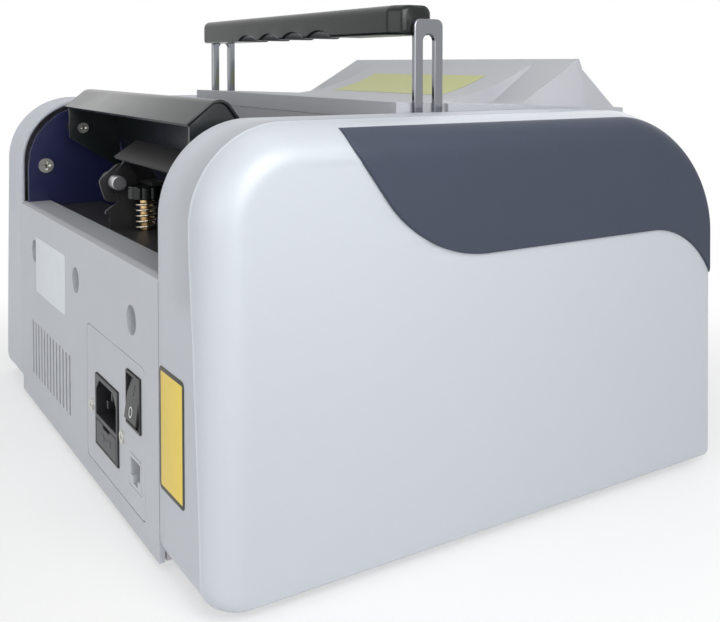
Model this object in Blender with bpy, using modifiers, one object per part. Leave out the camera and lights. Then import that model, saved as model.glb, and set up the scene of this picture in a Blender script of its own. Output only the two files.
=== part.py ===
"""Banknote counter, built in metres with +Z up.

The machine stands on four feet. Its front, where counted notes stack up, faces -Y.
Its back, with the mains inlet and the open adjusting gear, faces +Y.
The origin is at the bottom centre of the whole machine, handle raised.
"""
import bmesh
import bpy
from math import atan2, ceil, cos, degrees, hypot, pi, radians, sin, sqrt, tan
from mathutils import Matrix, Vector

MM = 0.001

# Driving dimensions of the whole machine
BODY_LENGTH = 270 * MM
BODY_HEIGHT = 177 * MM
FOOT_STAND = 3 * MM
BASE_HALF_WIDTH = 176.2 * MM
SIDE_DRAFT = 2.5 * MM
SEAM_X = 123.7 * MM
ROCKER_PROUD = 2 * MM
CLEARANCE = 0.3 * MM
OVERRUN = 3 * MM

REAR_Y = (BODY_LENGTH - ROCKER_PROUD) / 2
FRONT_Y = REAR_Y - BODY_LENGTH
TOP_Z = FOOT_STAND + BODY_HEIGHT
TOP_HALF_WIDTH = BASE_HALF_WIDTH - SIDE_DRAFT

# Sheet and moulding walls
SHELL_WALL = 2.4 * MM
SHEET = 1.5 * MM
FRAME_WALL = 2.8 * MM
FRAME_GAP = 4.3 * MM
FRAME_OUTER_X = SEAM_X - FRAME_GAP
FRAME_INNER_X = FRAME_OUTER_X - FRAME_WALL
BETWEEN_FRAMES = FRAME_INNER_X - CLEARANCE

# Base plate
BASE_BOTTOM_Z = FOOT_STAND + CLEARANCE
BASE_TOP_Z = BASE_BOTTOM_Z + SHEET
FLOOR_Z = BASE_TOP_Z + CLEARANCE

# Rear opening above the sill
SILL_Z = 118.5 * MM
SILL_DEPTH = 15.6 * MM
REAR_TOP_RADIUS = 38 * MM
FRONT_TOP_RADIUS = 58 * MM

# Hopper and handle walls
HOPPER_LENGTH = 112 * MM
HOPPER_WALL_Y = REAR_Y - HOPPER_LENGTH
DECK_RISE = 5 * MM
HOPPER_WALL_TOP_Z = TOP_Z + DECK_RISE
RIM_GAP = 0.5 * MM
RIM_X = SEAM_X - RIM_GAP
RIDGE_BEHIND_FRONT = 37 * MM
RIDGE_RISE = 25.7 * MM
RIDGE_Y = FRONT_Y + RIDGE_BEHIND_FRONT
RIDGE_Z = TOP_Z + RIDGE_RISE

# Shafts: places of their axes in the YZ plane, and sizes
SHAFT_RADIUS = 4 * MM
SHAFT_REACH = 3 * MM
SHAFT_OUTER_X = FRAME_OUTER_X + SHAFT_REACH
PICK_UP_FROM_REAR = 97 * MM
PICK_UP_DROP = 52 * MM
PICK_UP_AXIS = (REAR_Y - PICK_UP_FROM_REAR, TOP_Z - PICK_UP_DROP)
PICK_UP_RADIUS = 15.8 * MM
FEED_FROM_REAR = 84 * MM
FEED_DROP = 79 * MM
FEED_AXIS = (REAR_Y - FEED_FROM_REAR, TOP_Z - FEED_DROP)
FEED_RADIUS = 22 * MM
COUNTING_FROM_REAR = 128 * MM
COUNTING_Z = 84 * MM
COUNTING_AXIS = (REAR_Y - COUNTING_FROM_REAR, COUNTING_Z)
COUNTING_RADIUS = 14 * MM
IMPELLER_FROM_REAR = 180 * MM
IMPELLER_Z = 62 * MM
IMPELLER_AXIS = (REAR_Y - IMPELLER_FROM_REAR, IMPELLER_Z)
IMPELLER_RADIUS = 34 * MM
MOTOR_FROM_REAR = 62 * MM
MOTOR_Z = 27 * MM
MOTOR_AXIS = (REAR_Y - MOTOR_FROM_REAR, MOTOR_Z)
MOTOR_SHAFT_RADIUS = 2.5 * MM

# Adjusting gear behind the hopper
PIVOT_FROM_REAR = 23.5 * MM
PIVOT_DROP = 39.7 * MM
PIVOT_AXIS = (REAR_Y - PIVOT_FROM_REAR, TOP_Z - PIVOT_DROP)
PIVOT_RADIUS = 3 * MM
KNOB_FROM_REAR = 36.2 * MM
KNOB_Y = REAR_Y - KNOB_FROM_REAR
KNOB_RADIUS = 9 * MM
KNOB_BOTTOM_DROP = 48 * MM
KNOB_BOTTOM_Z = TOP_Z - KNOB_BOTTOM_DROP
KNOB_HEIGHT = 6.7 * MM
SHELF_TOP_DROP = 64.4 * MM
SHELF_TOP_Z = TOP_Z - SHELF_TOP_DROP

# Belt runs outside the frames
PULLEY_WIDTH = 7 * MM
BELT_THICKNESS = 1.4 * MM
BELT_WIDTH = 5.6 * MM
PULLEY_OUT = 11 * MM
PULLEY_X = FRAME_OUTER_X + PULLEY_OUT
FEED_PULLEY_RADIUS = 16 * MM
IMPELLER_PULLEY_RADIUS = 20 * MM
MOTOR_PULLEY_RADIUS = 8 * MM
SMALL_PULLEY_RADIUS = 9 * MM
COUNTING_PULLEY_RADIUS = 17.4 * MM

# Handle
ARM_CENTRE_FROM_REAR = 130.4 * MM
ARM_CENTRE_Y = REAR_Y - ARM_CENTRE_FROM_REAR
ARM_WIDTH = 16.2 * MM
ARM_SLOT = 6.4 * MM
ARM_THICKNESS = 2.8 * MM
ARM_GAP = 0.8 * MM
ARM_INNER_X = FRAME_OUTER_X + ARM_GAP
ARM_TOP_RISE = 43.6 * MM
ARM_TOP_Z = TOP_Z + ARM_TOP_RISE
ARM_BOTTOM_DROP = 34 * MM
ARM_BOTTOM_Z = TOP_Z - ARM_BOTTOM_DROP
GRIP_CENTRE_BACK = 6.7 * MM
GRIP_CENTRE_Y = ARM_CENTRE_Y + GRIP_CENTRE_BACK
GRIP_WIDTH = 20.6 * MM
GRIP_BOTTOM_RISE = 36 * MM
GRIP_BOTTOM_Z = TOP_Z + GRIP_BOTTOM_RISE
GRIP_TOP_RISE = 50 * MM
GRIP_TOP_Z = TOP_Z + GRIP_TOP_RISE
GUIDE_PIN_RADIUS = ARM_SLOT / 2 - CLEARANCE
GUIDE_PIN_DROP = 23 * MM
GUIDE_PIN_Z = TOP_Z - GUIDE_PIN_DROP

SMOOTH_ANGLE = radians(32)
ACROSS = {
    "X": Matrix(((0, 0, 1, 0), (1, 0, 0, 0), (0, 1, 0, 0), (0, 0, 0, 1))),
    "Y": Matrix(((1, 0, 0, 0), (0, 0, -1, 0), (0, 1, 0, 0), (0, 0, 0, 1))),
    "Z": Matrix.Identity(4),
}

for old in list(bpy.data.objects):
    bpy.data.objects.remove(old)

parts = bpy.data.collections.new("banknote_counter")
cutters = bpy.data.collections.new("cutters")
bpy.context.scene.collection.children.link(parts)
bpy.context.scene.collection.children.link(cutters)


def make_material(name, colour, roughness, metallic=0.0):
    """One Principled finish."""
    material = bpy.data.materials.new(name)
    material.use_nodes = True
    shader = material.node_tree.nodes["Principled BSDF"]
    shader.inputs["Base Color"].default_value = (*colour, 1.0)
    shader.inputs["Roughness"].default_value = roughness
    shader.inputs["Metallic"].default_value = metallic
    return material


FINISHES = {
    "silver": ((0.66, 0.68, 0.72), 0.42, 0.15),
    "grey": ((0.42, 0.43, 0.45), 0.5, 0.0),
    "rear_grey": ((0.58, 0.60, 0.62), 0.5, 0.0),
    "slate": ((0.055, 0.062, 0.098), 0.5, 0.0),
    "navy": ((0.008, 0.010, 0.045), 0.35, 0.2),
    "black_gloss": ((0.012, 0.014, 0.014), 0.22, 0.0),
    "black": ((0.02, 0.02, 0.022), 0.5, 0.0),
    "chrome": ((0.75, 0.76, 0.78), 0.12, 1.0),
    "steel": ((0.5, 0.5, 0.52), 0.35, 1.0),
    "brass": ((0.65, 0.45, 0.2), 0.3, 1.0),
    "rubber": ((0.03, 0.03, 0.032), 0.8, 0.0),
    "blue_rubber": ((0.05, 0.16, 0.3), 0.7, 0.0),
    "cream": ((0.7, 0.66, 0.55), 0.6, 0.0),
    "board": ((0.02, 0.16, 0.07), 0.5, 0.0),
    "key": ((0.75, 0.76, 0.78), 0.5, 0.0),
    "window": ((0.02, 0.02, 0.025), 0.08, 0.0),
}
materials = {name: make_material(name, *finish) for name, finish in FINISHES.items()}


def add_object(name, mesh, finish, collection=parts):
    """Link a mesh as a named sub-part with its own copy of a finish."""
    item = bpy.data.objects.new(name, mesh)
    collection.objects.link(item)
    if collection is cutters:
        item.hide_render = True
        item.display_type = "WIRE"
    else:
        own = materials[finish].copy()
        own.name = f"{name}_{finish}"
        mesh.materials.clear()
        mesh.materials.append(own)
        mesh.shade_smooth()
        mesh.set_sharp_from_angle(angle=SMOOTH_ANGLE)
    return item


def mesh_from(bm, name):
    """Close a bmesh into a mesh with its faces pointing out."""
    bmesh.ops.remove_doubles(bm, verts=bm.verts, dist=CLEARANCE / 100)
    bmesh.ops.recalc_face_normals(bm, faces=bm.faces)
    mesh = bpy.data.meshes.new(name)
    bm.to_mesh(mesh)
    bm.free()
    return mesh


def evaluated_mesh(item):
    """The mesh of an object after its modifiers, with the object removed."""
    bpy.context.view_layer.update()
    depsgraph = bpy.context.evaluated_depsgraph_get()
    mesh = bpy.data.meshes.new_from_object(item.evaluated_get(depsgraph))
    bpy.data.objects.remove(item)
    bm = bmesh.new()
    bm.from_mesh(mesh)
    return mesh_from(bm, "shape")


def box_mesh(low, high):
    """A box between two corners."""
    bm = bmesh.new()
    size = Vector(high) - Vector(low)
    centre = (Vector(high) + Vector(low)) / 2
    matrix = Matrix.Translation(centre) @ Matrix.Diagonal((*size, 1))
    bmesh.ops.create_cube(bm, size=1, matrix=matrix)
    return mesh_from(bm, "box")


def rod_mesh(radius, start, end, axis="X", centre=(0, 0), segments=20, end_radius=None):
    """A cylinder or cone between two places along an axis; centre is its place across that axis."""
    bm = bmesh.new()
    bmesh.ops.create_cone(bm, cap_ends=True, segments=segments, radius1=radius,
                          radius2=radius if end_radius is None else end_radius, depth=end - start)
    mesh = mesh_from(bm, "rod")
    middle = (start + end) / 2
    mesh.transform(Matrix.Translation((0, 0, middle)))
    mesh.transform(ACROSS[axis] if axis != "Y" else ACROSS["Y"] @ Matrix.Rotation(pi, 4, "X"))
    offset = {"X": (0, *centre), "Y": (centre[0], 0, centre[1]), "Z": (*centre, 0)}[axis]
    mesh.transform(Matrix.Translation(offset))
    return mesh


def plate_mesh(outlines, low, high, across="X"):
    """A flat outline, with any holes, given thickness from low to high along one axis."""
    curve = bpy.data.curves.new("outline", "CURVE")
    curve.dimensions = "2D"
    curve.fill_mode = "BOTH"
    curve.extrude = (high - low) / 2
    for outline in outlines:
        spline = curve.splines.new("POLY")
        spline.points.add(len(outline) - 1)
        for point, (a, b) in zip(spline.points, outline):
            point.co = (a, b, 0, 1)
        spline.use_cyclic_u = True
    holder = bpy.data.objects.new("outline", curve)
    cutters.objects.link(holder)
    mesh = evaluated_mesh(holder)
    bpy.data.curves.remove(curve)
    middle = (low + high) / 2
    if across == "Y":
        middle = -middle
    mesh.transform(Matrix.Translation((0, 0, middle)))
    mesh.transform(ACROSS[across])
    return mesh


def turned_mesh(profile, axis="X", centre=(0, 0), steps=24):
    """Turn a profile of (radius, place along the axis), which runs from its far end back."""
    bm = bmesh.new()
    verts = [bm.verts.new((radius, 0, place)) for radius, place in profile]
    for first, second in zip(verts, verts[1:]):
        bm.edges.new((first, second))
    mesh = bpy.data.meshes.new("profile")
    bm.to_mesh(mesh)
    bm.free()
    holder = bpy.data.objects.new("profile", mesh)
    cutters.objects.link(holder)
    screw = holder.modifiers.new("turn", "SCREW")
    screw.axis = "Z"
    screw.steps = steps
    screw.render_steps = steps
    screw.use_merge_vertices = True
    screw.merge_threshold = CLEARANCE / 100
    turned = evaluated_mesh(holder)
    turned.transform(ACROSS[axis] if axis != "Y" else ACROSS["Y"] @ Matrix.Rotation(pi, 4, "X"))
    offset = {"X": (0, *centre), "Y": (centre[0], 0, centre[1]), "Z": (*centre, 0)}[axis]
    turned.transform(Matrix.Translation(offset))
    return turned


def loft_mesh(rings):
    """Skin between rings of equal counts, closed at both ends."""
    bm = bmesh.new()
    rows = [[bm.verts.new(point) for point in ring] for ring in rings]
    count = len(rings[0])
    for row, following in zip(rows, rows[1:]):
        for i in range(count):
            j = (i + 1) % count
            bm.faces.new((row[i], row[j], following[j], following[i]))
    bm.faces.new(rows[0])
    bm.faces.new(rows[-1])
    return mesh_from(bm, "loft")


def arc(centre, radius, start, end, steps):
    """Points along an arc, angles in degrees."""
    angles = [radians(start + (end - start) * i / steps) for i in range(steps + 1)]
    return [(centre[0] + radius * cos(a), centre[1] + radius * sin(a)) for a in angles]


def circle(centre, radius, steps=20):
    """Points round a circle."""
    return arc(centre, radius, 0, 360, steps)[:-1]


def rounded(corners, steps=4):
    """An outline of (a, b, radius) corners, each with its radius drawn as an arc."""
    outline = []
    count = len(corners)
    for i, (a, b, radius) in enumerate(corners):
        here = Vector((a, b))
        if radius <= 0:
            outline.append((a, b))
            continue
        back = (Vector(corners[i - 1][:2]) - here).normalized()
        ahead = (Vector(corners[(i + 1) % count][:2]) - here).normalized()
        half = back.angle(ahead) / 2
        centre = here + (back + ahead).normalized() * (radius / sin(half))
        first = here + back * (radius / tan(half)) - centre
        last = here + ahead * (radius / tan(half)) - centre
        begin = atan2(first.y, first.x)
        sweep = (atan2(last.y, last.x) - begin + pi) % (2 * pi) - pi
        outline += arc(centre, radius, degrees(begin), degrees(begin + sweep), steps)
    return outline


def offset_corners(corners, insets):
    """Move each side of a cornered outline inwards; side i runs from corner i to the next."""
    count = len(corners)
    area = sum(corners[i][0] * corners[(i + 1) % count][1] - corners[(i + 1) % count][0] * corners[i][1]
               for i in range(count))
    turn = 1 if area > 0 else -1
    lines = []
    for i in range(count):
        start = Vector(corners[i][:2])
        along = (Vector(corners[(i + 1) % count][:2]) - start).normalized()
        inward = Vector((-along.y, along.x)) * turn
        lines.append((start + inward * insets[i], along))
    moved = []
    for i, (_, _, radius) in enumerate(corners):
        (p, d), (q, e) = lines[i - 1], lines[i]
        cross = d.x * e.y - d.y * e.x
        t = ((q.x - p.x) * e.y - (q.y - p.y) * e.x) / cross
        point = p + d * t
        reduced = radius - (insets[i - 1] + insets[i]) / 2
        moved.append((point.x, point.y, max(reduced, radius / 4)))
    return moved


def strip(path, thickness):
    """A closed outline that thickens an open path to its left side."""
    left = []
    for i, point in enumerate(path):
        before = Vector(path[max(i - 1, 0)])
        here = Vector(point)
        after = Vector(path[min(i + 1, len(path) - 1)])
        first = (here - before).normalized() if i > 0 else (after - here).normalized()
        second = (after - here).normalized() if i < len(path) - 1 else first
        normal = Vector((-first.y - second.y, first.x + second.x)).normalized()
        reach = thickness / max(cos(first.angle(second) / 2), 0.3)
        left.append(tuple(here + normal * reach))
    return list(path) + left[::-1]


def hull(points):
    """Convex outline round a set of points."""
    ordered = sorted(points)

    def half(sequence):
        chain = []
        for p in sequence:
            while len(chain) > 1:
                o, q = chain[-2], chain[-1]
                if (q[0] - o[0]) * (p[1] - o[1]) - (q[1] - o[1]) * (p[0] - o[0]) > 0:
                    break
                chain.pop()
            chain.append(p)
        return chain[:-1]

    return half(ordered) + half(ordered[::-1])


def cut(item, mesh, operation="DIFFERENCE"):
    """Cut or join another shape with a Boolean whose operand stays in the cutters collection."""
    operand = add_object(f"{item.name}_{operation.lower()}_{len(item.modifiers)}", mesh, None, cutters)
    modifier = item.modifiers.new(operand.name, "BOOLEAN")
    modifier.operation = operation
    modifier.object = operand
    return item


def fuse(item, *meshes):
    """Join shapes that overlap into one body."""
    for mesh in meshes:
        cut(item, mesh, "UNION")
    return item


def bevel(item, width, segments=2, angle=radians(40)):
    """Round the edges of a piece."""
    modifier = item.modifiers.new("edges", "BEVEL")
    modifier.width = width
    modifier.segments = segments
    modifier.limit_method = "ANGLE"
    modifier.angle_limit = angle
    modifier.use_clamp_overlap = True
    return item


def put_origin(item, origin):
    """Set a moving piece's origin on its joint, with its cutters carried along."""
    origin = Vector(origin)
    item.data.transform(Matrix.Translation(-origin))
    item.location = origin
    return item


# Base and feet
FOOT_RADIUS = 9 * MM
FOOT_INSET_X = 26 * MM
FOOT_INSET_Y = 24 * MM
FOOT_CHAMFER = 1 * MM
BASE_EDGE_GAP = 0.6 * MM
BASE_FLANGE = 9 * MM


def make_base():
    """The bent bottom sheet, with flanges turned up at the front and back."""
    half_width = SEAM_X - CLEARANCE
    rear = REAR_Y - SHELL_WALL - BASE_EDGE_GAP
    front = FRONT_Y + SHELL_WALL * 3 / 2 + BASE_EDGE_GAP
    top = BASE_BOTTOM_Z + BASE_FLANGE
    path = [(front, top), (front, BASE_BOTTOM_Z), (rear, BASE_BOTTOM_Z), (rear, top)]
    base = add_object("base_plate", plate_mesh([strip(path, SHEET)], -half_width, half_width), "steel")
    for side in (-1, 1):
        low = (side * FRAME_INNER_X - OVERRUN, front - OVERRUN, BASE_TOP_Z)
        high = (side * FRAME_OUTER_X + OVERRUN, rear + OVERRUN, top + OVERRUN)
        cut(base, box_mesh(low, high))
    return base


def make_feet():
    """Four turned rubber feet under the corners of the base."""
    profile = [(0, FOOT_STAND), (FOOT_RADIUS, FOOT_STAND), (FOOT_RADIUS, FOOT_CHAMFER),
               (FOOT_RADIUS - FOOT_CHAMFER, 0), (0, 0)]
    for side, side_name in ((-1, "left"), (1, "right")):
        for end, end_name in ((FRONT_Y + FOOT_INSET_Y, "front"), (REAR_Y - FOOT_INSET_Y, "rear")):
            centre = (side * (SEAM_X - FOOT_INSET_X), end)
            add_object(f"foot_{end_name}_{side_name}", turned_mesh(profile, "Z", centre), "rubber")


# Side frames
FRAME_EDGE = 3.8 * MM
FRAME_TOP_Z = TOP_Z - FRAME_EDGE
FRAME_FRONT_RADIUS = 76.2 * MM
FRAME_CORNER = 6 * MM
FRAME_REAR_Y = REAR_Y - SHELL_WALL - 2 * CLEARANCE
FRAME_FRONT_Y = FRONT_Y + FRAME_EDGE
PIN_HEAD = 1.2 * MM
PIN_HEAD_RADIUS = 4.8 * MM


def make_frames():
    """Two upright plates that carry every shaft, with the guide pins of the handle outside."""
    edge = rounded([(FRAME_REAR_Y, FLOOR_Z, FRAME_CORNER),
                    (FRAME_REAR_Y, FRAME_TOP_Z, REAR_TOP_RADIUS - FRAME_EDGE / 2),
                    (FRAME_FRONT_Y, FRAME_TOP_Z, FRAME_FRONT_RADIUS),
                    (FRAME_FRONT_Y, FLOOR_Z, FRAME_CORNER)], 6)
    bore = SHAFT_RADIUS + CLEARANCE
    holes = [circle(axis, bore, 16) for axis in (PICK_UP_AXIS, FEED_AXIS, COUNTING_AXIS, IMPELLER_AXIS)]
    motor_hole = circle(MOTOR_AXIS, MOTOR_SHAFT_RADIUS + CLEARANCE, 12)
    pin_end = ARM_INNER_X + ARM_THICKNESS + CLEARANCE
    for side, name in ((-1, "left"), (1, "right")):
        low, high = sorted((side * FRAME_INNER_X, side * FRAME_OUTER_X))
        outlines = [edge, *holes, motor_hole] if side < 0 else [edge, *holes]
        frame = add_object(f"frame_{name}", plate_mesh(outlines, low, high), "navy")
        centre = (ARM_CENTRE_Y, GUIDE_PIN_Z)
        profile = [(0, pin_end + PIN_HEAD), (PIN_HEAD_RADIUS, pin_end + PIN_HEAD), (PIN_HEAD_RADIUS, pin_end),
                   (GUIDE_PIN_RADIUS, pin_end), (GUIDE_PIN_RADIUS, FRAME_INNER_X + FRAME_WALL / 2),
                   (0, FRAME_INNER_X + FRAME_WALL / 2)]
        pin = turned_mesh(profile, "X", centre, 16)
        if side < 0:
            pin.transform(Matrix.Rotation(pi, 4, "Z"))
            pin.transform(Matrix.Translation((0, 2 * ARM_CENTRE_Y, 0)))
        fuse(frame, pin)


# Moulded side covers
COVER_ROUND_DEPTH = 11 * MM
COVER_FRONT_DEPTH = 3 * MM
COVER_ROUND_BOTTOM = 2.5 * MM
COVER_ROUND_WIDTH_TOP = 19 * MM
COVER_ROUND_WIDTH_BOTTOM = 7 * MM
COVER_TAPER_Z = 105 * MM
COVER_FOOT_RADIUS = 12 * MM
COVER_FRONT_FOOT_RADIUS = 5 * MM
COVER_STEPS = 4
INSERT_RAISE = 1.2 * MM
INSERT_MARGIN = 2.5 * MM


def face_x(z):
    """Half width of the machine's flat side at a height, with its slight draft."""
    share = (z - FOOT_STAND) / BODY_HEIGHT
    return BASE_HALF_WIDTH + (TOP_HALF_WIDTH - BASE_HALF_WIDTH) * share


def round_width(z):
    """How far in from the flat side the rounding starts, narrower near the base."""
    share = min(max((z - FOOT_STAND) / (COVER_TAPER_Z - FOOT_STAND), 0), 1)
    return COVER_ROUND_WIDTH_BOTTOM + (COVER_ROUND_WIDTH_TOP - COVER_ROUND_WIDTH_BOTTOM) * share


def cover_corners():
    """The side view of the machine: rear foot, rear top, front top and front foot."""
    return [(REAR_Y, FOOT_STAND, COVER_FOOT_RADIUS), (REAR_Y, TOP_Z, REAR_TOP_RADIUS),
            (FRONT_Y, TOP_Z, FRONT_TOP_RADIUS), (FRONT_Y, FOOT_STAND, COVER_FRONT_FOOT_RADIUS)]


def cover_rings(side, inset, mouth_x, steps=COVER_STEPS):
    """Rings from the flat side in to the mouth, all moved inwards by the inset."""
    plain = rounded(cover_corners(), 6)
    rings = []
    for step in range(steps, -1, -1):
        angle = pi / 2 * step / steps
        depth, front, bottom = (size * (1 - cos(angle)) + inset
                                for size in (COVER_ROUND_DEPTH, COVER_FRONT_DEPTH, COVER_ROUND_BOTTOM))
        outline = rounded(offset_corners(cover_corners(), (depth, depth, front, bottom)), 6)
        rings.append([(side * (face_x(z) - inset - round_width(z0) * (1 - sin(angle))), y, z)
                      for (y, z), (_, z0) in zip(outline, plain)])
    mouth = rounded(offset_corners(cover_corners(), [inset] * 4), 6)
    rings.append([(side * mouth_x, y, z) for y, z in mouth])
    return rings


BOSS_FROM_REAR = 40 * MM
BOSS_GAP = 3 * MM
BOSS_Z = 60 * MM
BOSS_RADIUS = 5 * MM


def make_side_covers():
    """Two moulded shells, open towards the frames."""
    front_boss = IMPELLER_AXIS[0] - IMPELLER_PULLEY_RADIUS - PULLEY_LIP - BOSS_GAP - BOSS_RADIUS
    boss_places = ((REAR_Y - BOSS_FROM_REAR, BOSS_Z), (front_boss, BOSS_Z))
    for side, name in ((-1, "left"), (1, "right")):
        rings = cover_rings(side, 0, SEAM_X) + cover_rings(side, SHELL_WALL, SEAM_X)[::-1]
        cover = add_object(f"side_cover_{name}", loft_mesh(rings), "silver")
        for centre in boss_places:
            low, high = sorted((side * (FRAME_OUTER_X + CLEARANCE), side * (face_x(centre[1]) - SHELL_WALL / 2)))
            fuse(cover, rod_mesh(BOSS_RADIUS, low, high, "X", centre, 12))


# Dark wave-shaped inserts on the side covers
INSERT_REAR_TOP_FROM_REAR = 54.4 * MM
INSERT_REAR_TOP_Y = REAR_Y - INSERT_REAR_TOP_FROM_REAR
INSERT_LOW_DROP = 57.2 * MM
INSERT_LOW_Z = TOP_Z - INSERT_LOW_DROP
INSERT_BEND_FROM_REAR = 90 * MM
INSERT_BEND_Y = REAR_Y - INSERT_BEND_FROM_REAR
INSERT_BEND_RADIUS = 64 * MM
INSERT_FALL_FROM_FRONT = 8 * MM
INSERT_FALL_Y = FRONT_Y + INSERT_FALL_FROM_FRONT
INSERT_FALL_RADIUS = 47 * MM
INSERT_TIP_DROP = 98.3 * MM
INSERT_TIP_Z = TOP_Z - INSERT_TIP_DROP


def make_side_inserts():
    """A panel over the upper side that follows the cover's rounding, cut to a wave below."""
    for side, name in ((-1, "left"), (1, "right")):
        outer = cover_rings(side, -CLEARANCE - INSERT_RAISE, SEAM_X)
        inner = cover_rings(side, -CLEARANCE, SEAM_X)
        insert = add_object(f"side_insert_{name}", loft_mesh(outer + inner[::-1]), "slate")
        wave = [(INSERT_REAR_TOP_Y, TOP_Z + OVERRUN, 0), (INSERT_BEND_Y, INSERT_LOW_Z, INSERT_BEND_RADIUS),
                (INSERT_FALL_Y, INSERT_LOW_Z, INSERT_FALL_RADIUS),
                (FRONT_Y - OVERRUN, INSERT_TIP_Z, 0), (FRONT_Y - OVERRUN, TOP_Z + OVERRUN, 0)]
        inner_x = min(TOP_HALF_WIDTH, BASE_HALF_WIDTH) - round_width(TOP_Z)
        outer_x = max(TOP_HALF_WIDTH, BASE_HALF_WIDTH) + INSERT_RAISE + OVERRUN
        low, high = sorted((side * inner_x, side * outer_x))
        cut(insert, plate_mesh([rounded(wave, 8)], low, high), "INTERSECT")
        limit = rounded(offset_corners(cover_corners(), [INSERT_MARGIN] * 4), 10)
        cut(insert, plate_mesh([limit], low - OVERRUN, high + OVERRUN), "INTERSECT")


# Rear cover with its sill, screw wells and vent
SILL_EDGE = 3 * MM
WELL_RADIUS = 6.5 * MM
WELL_DEPTH = 11 * MM
WELL_WALL = 1.4 * MM
WELL_SPACING = 89.5 * MM
WELL_DROP = 25.1 * MM
WELL_Z = SILL_Z - WELL_DROP
VENT_SLOTS = 13
VENT_START_X = 11.5 * MM
VENT_PITCH = 6.85 * MM
VENT_SLOT = 3 * MM
VENT_LOW_Z = 20 * MM
VENT_HIGH_Z = 52 * MM
PANEL_LOW_X = -107 * MM
PANEL_HIGH_X = -20.2 * MM
PANEL_LOW_Z = 12 * MM
PANEL_HIGH_Z = 77 * MM
PANEL_CORNER = 3 * MM


def make_rear_cover():
    """The back panel: a wall, a level sill, three deep screw wells, a slotted vent and a panel opening."""
    half_width = SEAM_X - CLEARANCE
    inner = REAR_Y - SHELL_WALL
    path = rounded([(REAR_Y, FOOT_STAND, 0), (REAR_Y, SILL_Z, SILL_EDGE), (REAR_Y - SILL_DEPTH, SILL_Z, 0)], 3)
    cover = add_object("rear_cover", plate_mesh([strip(path, SHELL_WALL)], -half_width, half_width), "rear_grey")
    for side in (-1, 1):
        low_x, high_x = sorted((side * BETWEEN_FRAMES, side * (half_width + OVERRUN)))
        cut(cover, box_mesh((low_x, REAR_Y - SILL_DEPTH - OVERRUN, SILL_Z - SHELL_WALL - OVERRUN),
                            (high_x, inner - CLEARANCE, SILL_Z + OVERRUN)))
    cup_outer = WELL_RADIUS + WELL_WALL
    back = REAR_Y - WELL_DEPTH
    for place in (-1, 0, 1):
        centre = (place * WELL_SPACING, WELL_Z)
        fuse(cover, rod_mesh(cup_outer, back - WELL_WALL, REAR_Y - SHELL_WALL / 2, "Y", centre, 20))
        cut(cover, rod_mesh(WELL_RADIUS, back, REAR_Y + OVERRUN, "Y", centre, 20))
    opening = rounded([(PANEL_LOW_X, PANEL_LOW_Z, PANEL_CORNER), (PANEL_HIGH_X, PANEL_LOW_Z, PANEL_CORNER),
                       (PANEL_HIGH_X, PANEL_HIGH_Z, PANEL_CORNER), (PANEL_LOW_X, PANEL_HIGH_Z, PANEL_CORNER)], 2)
    cut(cover, plate_mesh([opening], inner - OVERRUN, REAR_Y + OVERRUN, "Y"))
    slots = []
    for i in range(VENT_SLOTS):
        left = VENT_START_X + i * VENT_PITCH
        radius = VENT_SLOT / 2
        slot = arc((left + radius, VENT_HIGH_Z - radius), radius, 0, 180, 4)
        slot += arc((left + radius, VENT_LOW_Z + radius), radius, 180, 360, 4)
        slots.append(slot)
    cut(cover, plate_mesh(slots, inner - OVERRUN, REAR_Y + OVERRUN, "Y"))
    return cover


# Connector panel and its fittings
INLET_LOW_X = -71 * MM
INLET_HIGH_X = -36.2 * MM
INLET_LOW_Z = 22.8 * MM
INLET_HIGH_Z = 56.6 * MM
INLET_DEPTH = 24 * MM
INLET_PROUD = 0.8 * MM
INLET_WALL = 2 * MM
INLET_CHAMFER = 5 * MM
SOCKET_LOW_Z = 37.6 * MM
SOCKET_DEPTH = 17 * MM
PIN_WIDTH = 2 * MM
PIN_HEIGHT = 4 * MM
PIN_LENGTH = 15 * MM
PIN_SPREAD = 7 * MM
DRAWER_DEPTH = 14 * MM
DRAWER_WALL = 2 * MM
DRAWER_LIP = 1.6 * MM
DRAWER_NOTCH_HALF = 5 * MM
SWITCH_LOW_X = -102 * MM
SWITCH_HIGH_X = -83.2 * MM
SWITCH_LOW_Z = 47.7 * MM
SWITCH_HIGH_Z = 71 * MM
SWITCH_WALL = 1.1 * MM
SWITCH_DEPTH = 16 * MM
SWITCH_LIP = 0.8 * MM
ROCKER_PIVOT_BEHIND = 3 * MM
ROCKER_HALF = 9.2 * MM
ROCKER_SINK = 0.9 * MM
ROCKER_KEEL = 8 * MM
JACK_LOW_X = -101.3 * MM
JACK_HIGH_X = -85.4 * MM
JACK_LOW_Z = 21.8 * MM
JACK_HIGH_Z = 35.6 * MM
JACK_DEPTH = 14 * MM
JACK_WALL = 1.6 * MM
JACK_KEY = 3 * MM


def rectangle(low_a, low_b, high_a, high_b):
    """Four corners of a rectangle."""
    return [(low_a, low_b), (high_a, low_b), (high_a, high_b), (low_a, high_b)]


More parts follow.
